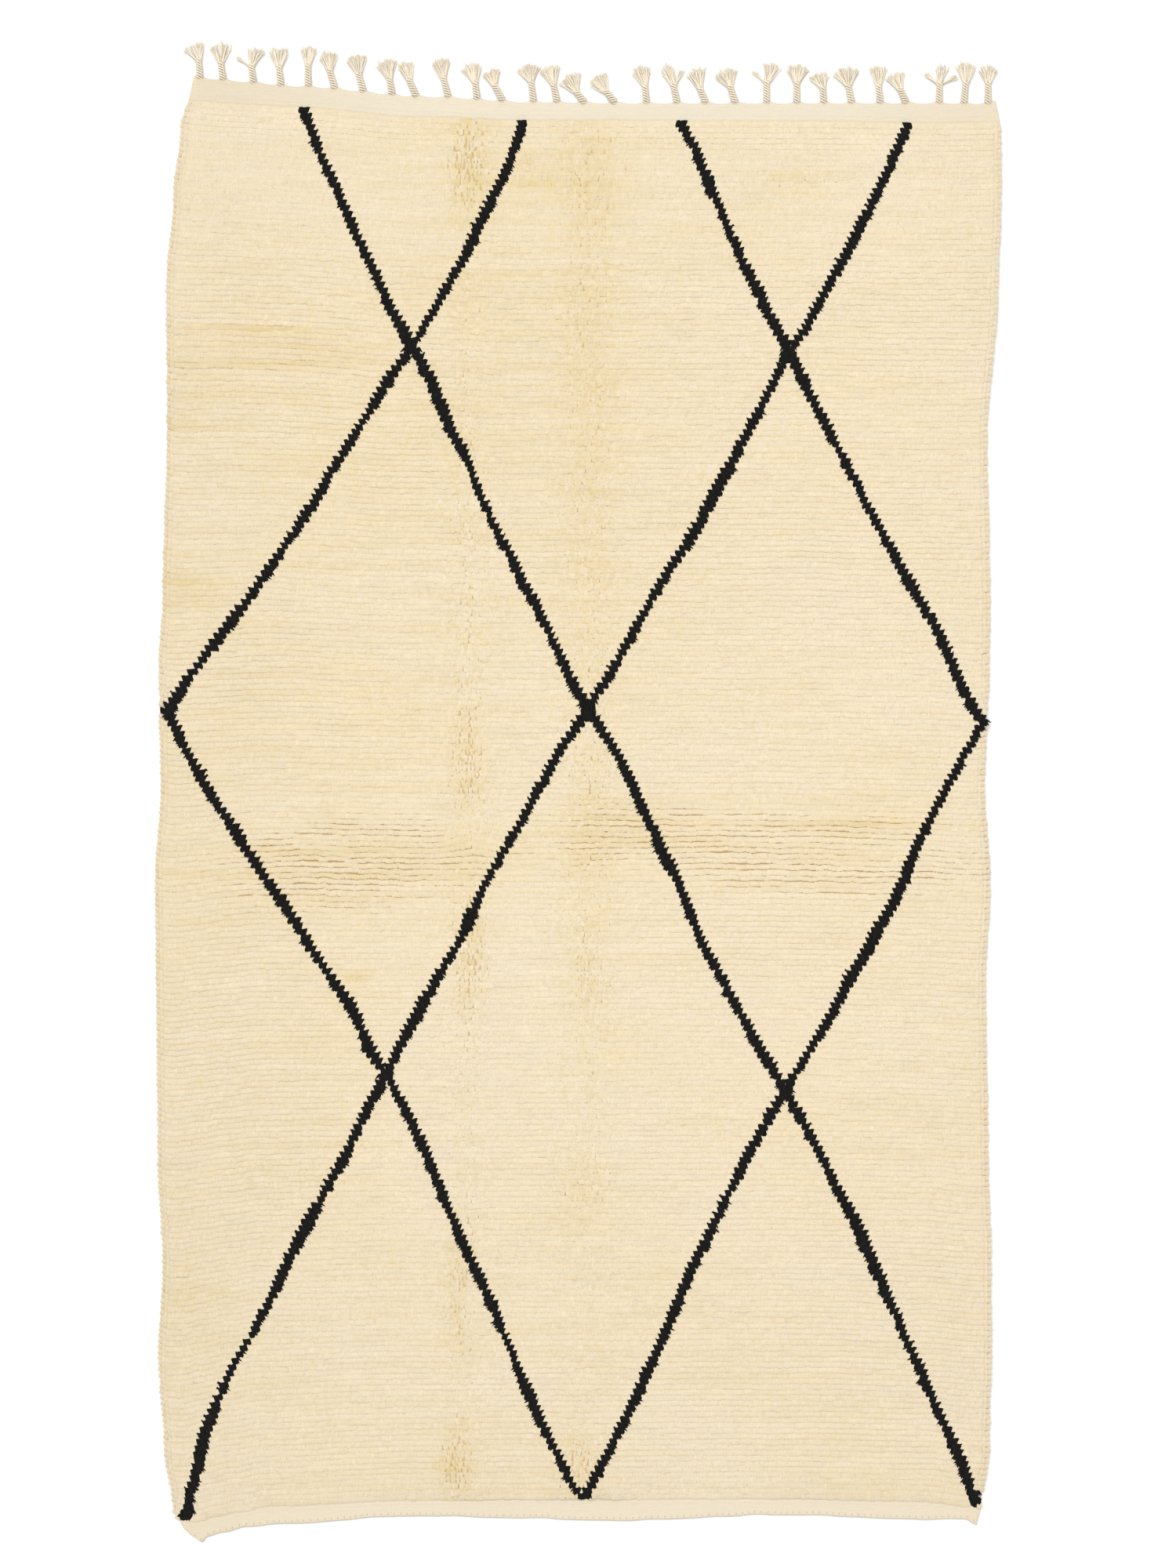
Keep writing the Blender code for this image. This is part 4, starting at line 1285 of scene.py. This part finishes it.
def build_black_pile(material):
    """Pointed locks. Those at a stretch's two ends splay out over the cream wool."""
    draw = np.random.default_rng(SEED + 2)
    rows, across, turns, kinds = dark_places()
    number = len(rows)
    share = (rows + ROOT_SHARE) / KNOT_ROWS
    x, y = row_place(share, across)
    x = x + draw.normal(0.0, DARK_ACROSS, number)
    y = y + draw.normal(0.0, DARK_ALONG, number)
    core, upper = kinds == CORE, kinds == UPPER
    heading = (STRAIGHT_DOWN + turns
               + draw.normal(0.0, DARK_TURN, number) * np.where(core, 1.0, SPLAYED_TURN))
    curl = draw.normal(0.0, DARK_CURL, number)
    headings = np.stack([heading, heading, heading, heading + curl], axis=-1)
    lengths = LOCK_LENGTH * (1.0 + draw.normal(0.0, DARK_LENGTHS, number))
    lengths = lengths * np.where(upper, draw.uniform(*UPPER_LENGTH, number), 1.0)
    up = np.where(upper, UPPER_RISE, LOCK_RISE)
    heights = (crest_height(x, y, across, share) - LOCK_HALF_HEIGHT + DARK_PROUD
               + SPLAYED_PROUD * (~core) + draw.normal(0.0, DARK_CREST, number))
    centres = lock_centres(x, y, headings, lengths, heights, up, DARK_STEPS)
    fall = crest_fall(x, y, across, share, -lengths * np.cos(heading))
    fall = fall + np.interp(rows, LAST_ROWS, LAST_FALLS)
    centres[:, 2:, 2] -= fall[:, None] * np.array(DARK_STEPS)
    centres[rows == KNOT_ROWS - 1, 0, 2] = WEAVE_THICKNESS - LOCK_HALF_HEIGHT
    wide = DARK_HALF_WIDTH * (1.0 + draw.normal(0.0, DARK_WIDTHS, number))
    wide = wide * np.where(core, 1.0, SPLAYED_WIDTH)
    shoulder = wide * np.where(core, DARK_SHOULDER, SPLAYED_SHOULDER)
    half_widths = np.stack([wide * ROOT_WIDTH, wide, shoulder, wide * DARK_POINT], axis=-1)
    high = LOCK_HALF_HEIGHT * (DARK_THICKNESS + draw.normal(0.0, HEIGHT_SPREAD, number))
    half_heights = np.stack([high, high, high, high * DARK_TIP_THIN], axis=-1)
    marks = {
        "tip": np.tile(DARK_TIP_MARKS, (number, 1)),
        "tone": draw.normal(0.0, DARK_TONES, number),
    }
    pattern = strand_pattern(3, 3, root_point=True, tip_point=True)
    return grow("black_lattice", pattern, centres, headings, half_widths, half_heights,
                marks, material)


# ---------------------------------------------------------------- the tassels
NECK_PLIES = 3
NECK_SECTIONS = 18
NECK_SIDES = 6
NECK_TURN = 0.0155            # one full turn of the twisted neck
NECK_ROOTED = 0.004           # it starts this far inside the woven edge
NECK_PAST = 0.004             # and runs on this far into the brush
NECK_ORBIT = (0.0050, 0.0040)   # plies round the neck's middle, at its root and its head
NECK_PLY = (0.0033, 0.0028)
NECK_START = 0.45             # it grows out of the weave from this share of its thickness
NECK_GROW = 0.008             # to all of it, within this distance
NECK_FLATTEN = 0.66
NECK_TONE = 0.02              # painted light: a ply is lighter on top, where it crosses over the others
NECK_SHADE = 0.12
BRUSH_YARNS = 30
BRUSH_SECTIONS = 6
BRUSH_SIDES = 5
YARN_RADIUS = 0.00115
YARN_TAPER = (0.9, 1.0, 1.0, 1.0, 0.98, 0.85, 0.25)
YARN_LAYERS = 3               # yarns lie on each other in this many layers
HEAD_HALF = 0.0042            # half the width of the neck's head
HEAD_LEVEL = 0.0024           # the lowest layer leaves the head at this height,
HEAD_LAYER = 0.0016           # each one this much higher than the last,
FLOOR_LAYER = 0.0013          # and this much once they lie on the floor
SETTLE_RATE = 1.4
PLACE_SPREAD = 0.05
FAN_SPREAD = 0.05
ARM_SPREAD = 0.11
YARN_WAVER = 0.035
FLARE = (0.80, 1.02)          # a yarn turns outward by these shares, from head to tip
FLARE_POWER = 0.6
# painted shade: the lower layers of a brush are darker, the upper ones lighter
LAYER_SHADE = 0.12
YARN_TONE = (0.02, 0.05)      # mean and spread
BRUSH_CROWN = 0.12
BRUSH_RAGGED = 0.10
ARM_YARNS = 6
ARM_SHARE = 0.86              # they are this much shorter than the rest
FUZZ = 6                      # fine fibres past the end of each yarn
FUZZ_SECTIONS = 3
FUZZ_TURN = 0.30
FUZZ_CURL = 0.10
FUZZ_LENGTHS = (0.006, 0.0125)
FUZZ_RADII = (0.00045, 0.00030, 0.00020, 0.0001)
FUZZ_TONE = 0.10


def path(starts, steps):
    """Places along a path, which starts with the first one and goes on step by step."""
    none = np.zeros((len(starts), 1))
    return starts[:, None] + np.concatenate([none, np.cumsum(steps, axis=1)], axis=1)


def walk(start_x, start_y, headings, step):
    """Points along a path whose heading changes from section to section."""
    return (path(start_x, np.sin(headings[:, 1:]) * step),
            path(start_y, np.cos(headings[:, 1:]) * step))


def edge_at(x):
    across = (x - FRINGE_LEFT) / (FRINGE_RIGHT - FRINGE_LEFT)
    return float(end_at("fringe_edge", across))


def neck_plies(tassel, draw):
    """Three plies twisted round each other from the woven edge to the brush."""
    lean = math.radians(tassel.lean)
    share = np.linspace(0.0, 1.0, NECK_SECTIONS + 1)
    reach = mix(-NECK_ROOTED, tassel.neck + NECK_PAST, share)
    grown = mix(NECK_START, 1.0, smooth((reach + NECK_ROOTED) / NECK_GROW))
    orbit = mix(*NECK_ORBIT, share) * grown
    start = draw.uniform(0.0, FULL_TURN)
    centres, widths, tones_and_shade = [], [], []
    for ply in range(NECK_PLIES):
        turn = start + FULL_TURN * (ply / NECK_PLIES + reach / NECK_TURN)
        aside = orbit * np.cos(turn)
        x = tassel.root + np.sin(lean) * reach + np.cos(lean) * aside
        y = edge_at(tassel.root) + np.cos(lean) * reach - np.sin(lean) * aside
        ply_radius = mix(*NECK_PLY, share) * grown
        z = NECK_FLATTEN * (orbit + ply_radius + orbit * np.sin(turn))
        centres.append(np.stack([x, y, z], axis=-1))
        widths.append(ply_radius)
        # painted light and shade: a ply is lighter on top and darker beneath
        tones_and_shade.append(NECK_TONE + NECK_SHADE * np.sin(turn))
    headings = np.full((NECK_PLIES, NECK_SECTIONS + 1), lean)
    return np.array(centres), headings, np.array(widths), np.array(tones_and_shade)


def brush_yarns(tassel, draw):
    """Loose yarns that fan from the neck's head and lie on the floor."""
    lean = math.radians(tassel.lean)
    head_x = tassel.root + math.sin(lean) * tassel.neck
    head_y = edge_at(tassel.root) + math.cos(lean) * tassel.neck
    place = np.linspace(-1.0, 1.0, BRUSH_YARNS)
    place = np.clip(place + draw.normal(0.0, PLACE_SPREAD, BRUSH_YARNS), -1.0, 1.0)
    left, right = math.radians(tassel.left), math.radians(tassel.right)
    middle = 0.5 * (left + right)
    heading = (mix(left, right, 0.5 * (place + 1.0))
               + draw.normal(0.0, FAN_SPREAD, BRUSH_YARNS))
    lengths = tassel.brush * (1.0 - BRUSH_CROWN * place ** 2)
    lengths = lengths * (1.0 + draw.normal(0.0, BRUSH_RAGGED, BRUSH_YARNS))
    for arm, chosen in ((tassel.arm_left, slice(0, ARM_YARNS)),
                        (tassel.arm_right, slice(-ARM_YARNS, None))):
        if arm is not None:
            heading[chosen] = math.radians(arm) + draw.normal(0.0, ARM_SPREAD, ARM_YARNS)
            lengths[chosen] *= ARM_SHARE
    share = np.linspace(0.0, 1.0, BRUSH_SECTIONS + 1)
    flare = mix(*FLARE, share ** FLARE_POWER)
    headings = middle + (heading[:, None] - middle) * flare[None, :]
    headings = headings + np.cumsum(
        draw.normal(0.0, YARN_WAVER, (BRUSH_YARNS, BRUSH_SECTIONS + 1)), axis=1)
    start_x = head_x + math.cos(lean) * place * HEAD_HALF
    start_y = head_y - math.sin(lean) * place * HEAD_HALF
    x, y = walk(start_x, start_y, headings, (lengths / BRUSH_SECTIONS)[:, None])
    layer = draw.integers(0, YARN_LAYERS, BRUSH_YARNS)
    settle = smooth(share * SETTLE_RATE)[None, :]
    start_z = HEAD_LEVEL + HEAD_LAYER * layer[:, None]
    lying_z = YARN_RADIUS + FLOOR_LAYER * layer[:, None]
    z = mix(start_z, lying_z, settle)
    radius = YARN_RADIUS * np.array(YARN_TAPER)
    radius = np.broadcast_to(radius, (BRUSH_YARNS, BRUSH_SECTIONS + 1))
    return np.stack([x, y, z], axis=-1), headings, radius, 0.5 - 0.5 * layer


def fuzz_fibres(centres, headings, draw):
    """Fine fibres that spread a little past the ends of the yarns."""
    near_end = np.repeat(centres[:, -2], FUZZ, axis=0)
    heading = np.repeat(headings[:, -1], FUZZ) + draw.normal(0.0, FUZZ_TURN, len(near_end))
    headings = np.repeat(heading[:, None], FUZZ_SECTIONS + 1, axis=1)
    headings = headings + np.cumsum(draw.normal(0.0, FUZZ_CURL, headings.shape), axis=1)
    lengths = draw.uniform(*FUZZ_LENGTHS, len(near_end))
    x, y = walk(near_end[:, 0], near_end[:, 1], headings,
                (lengths / FUZZ_SECTIONS)[:, None])
    z = np.repeat(near_end[:, 2][:, None], FUZZ_SECTIONS + 1, axis=1)
    radius = np.broadcast_to(np.array(FUZZ_RADII), z.shape)
    return np.stack([x, y, z], axis=-1), headings, radius


def build_fringe(material):
    draw = np.random.default_rng(SEED + 3)
    necks, brushes, fuzz = [], [], []
    for tassel in TASSELS:
        necks.append(neck_plies(tassel, draw))
        centres, headings, radius, layer = brush_yarns(tassel, draw)
        # Painted shade: yarns in the lower layers are darker, those on top lighter, besides
        # each yarn's own tone.
        tone = layer * -LAYER_SHADE + draw.normal(*YARN_TONE, len(centres))
        brushes.append((centres, headings, radius, tone))
        centres, headings, radius = fuzz_fibres(centres, headings, draw)
        fuzz.append((centres, headings, radius, np.full(len(centres), FUZZ_TONE)))
    shapes = (
        ("fringe_necks", necks, strand_pattern(NECK_SIDES, NECK_SECTIONS, False, False)),
        ("fringe_brushes", brushes, strand_pattern(BRUSH_SIDES, BRUSH_SECTIONS, False, True)),
        ("fringe_fibres", fuzz, strand_pattern(3, FUZZ_SECTIONS, False, True)),
    )
    made = []
    for name, found, pattern in shapes:
        centres, headings, radius, tone = (np.concatenate(part) for part in zip(*found))
        flat = NECK_FLATTEN if name == "fringe_necks" else 1.0
        made.append(grow(name, pattern, centres, headings, radius, radius * flat,
                         {"tone": tone}, material))
    return made


# ---------------------------------------------------------------- studio
CAMERA_LENS = 85.0
CAMERA_SENSOR = 36.0
PHOTO_PIXELS = (1500, 2000)
CAMERA_LEVEL = 0.011          # the height at which the photograph's scale holds
FLOOR_HALF = 120.0
FLOOR_BELOW = 0.0003          # the floor is this far under the rug
ROOM_COLOUR = (1.0, 1.0, 1.0, 1.0)
ROOM_LIGHT = 0.80
SUN_LIGHT = 1.95
SUN_WIDTH = 50.0              # degrees, which makes its shadows soft
SUN_TILT = (-34.0, -12.0)     # degrees about X and Y


def lay_floor():
    bm = bmesh.new()
    bmesh.ops.create_grid(bm, x_segments=1, y_segments=1, size=FLOOR_HALF)
    bmesh.ops.translate(bm, vec=(0.0, 0.0, -FLOOR_BELOW), verts=bm.verts[:])
    floor = from_bmesh("floor", bm, floor_paint())


def light_room():
    world = bpy.data.worlds.new("pale_room")
    world.use_nodes = True
    background = world.node_tree.nodes["Background"]
    background.inputs["Color"].default_value = ROOM_COLOUR
    background.inputs["Strength"].default_value = ROOM_LIGHT
    bpy.context.scene.world = world
    sun = bpy.data.lights.new("soft_overhead", "SUN")
    sun.energy = SUN_LIGHT
    sun.angle = math.radians(SUN_WIDTH)
    lamp = linked("soft_overhead", sun)
    lamp.rotation_euler = (math.radians(SUN_TILT[0]), math.radians(SUN_TILT[1]), 0.0)


def place_camera():
    """Straight above the middle of the photograph, at its scale."""
    camera = bpy.data.cameras.new("camera")
    camera.lens = CAMERA_LENS
    camera.sensor_width = CAMERA_SENSOR
    middle = photo_place((PHOTO_PIXELS[0] / 2.0, PHOTO_PIXELS[1] / 2.0))
    seen_length = PHOTO_PIXELS[1] * PIXEL
    holder = linked("camera", camera)
    holder.location = (*middle, CAMERA_LEVEL + seen_length * CAMERA_LENS / CAMERA_SENSOR)
    bpy.context.scene.camera = holder
    bpy.context.scene.view_settings.view_transform = "Standard"


# ---------------------------------------------------------------- putting it together
lay_floor()
light_room()
place_camera()
ground = build_ground(woven_ground())
cream_pieces = build_cream_pile(cream_wool())
black_piece = build_black_pile(black_wool())
fringe_pieces = build_fringe(warp_yarn())

for piece in [ground, *cream_pieces, black_piece, *fringe_pieces]:
    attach(piece, "root")
for piece in [ground, *cream_pieces, black_piece]:
    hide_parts("rug_body")
for piece in fringe_pieces:
    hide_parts("tassel_fringe")
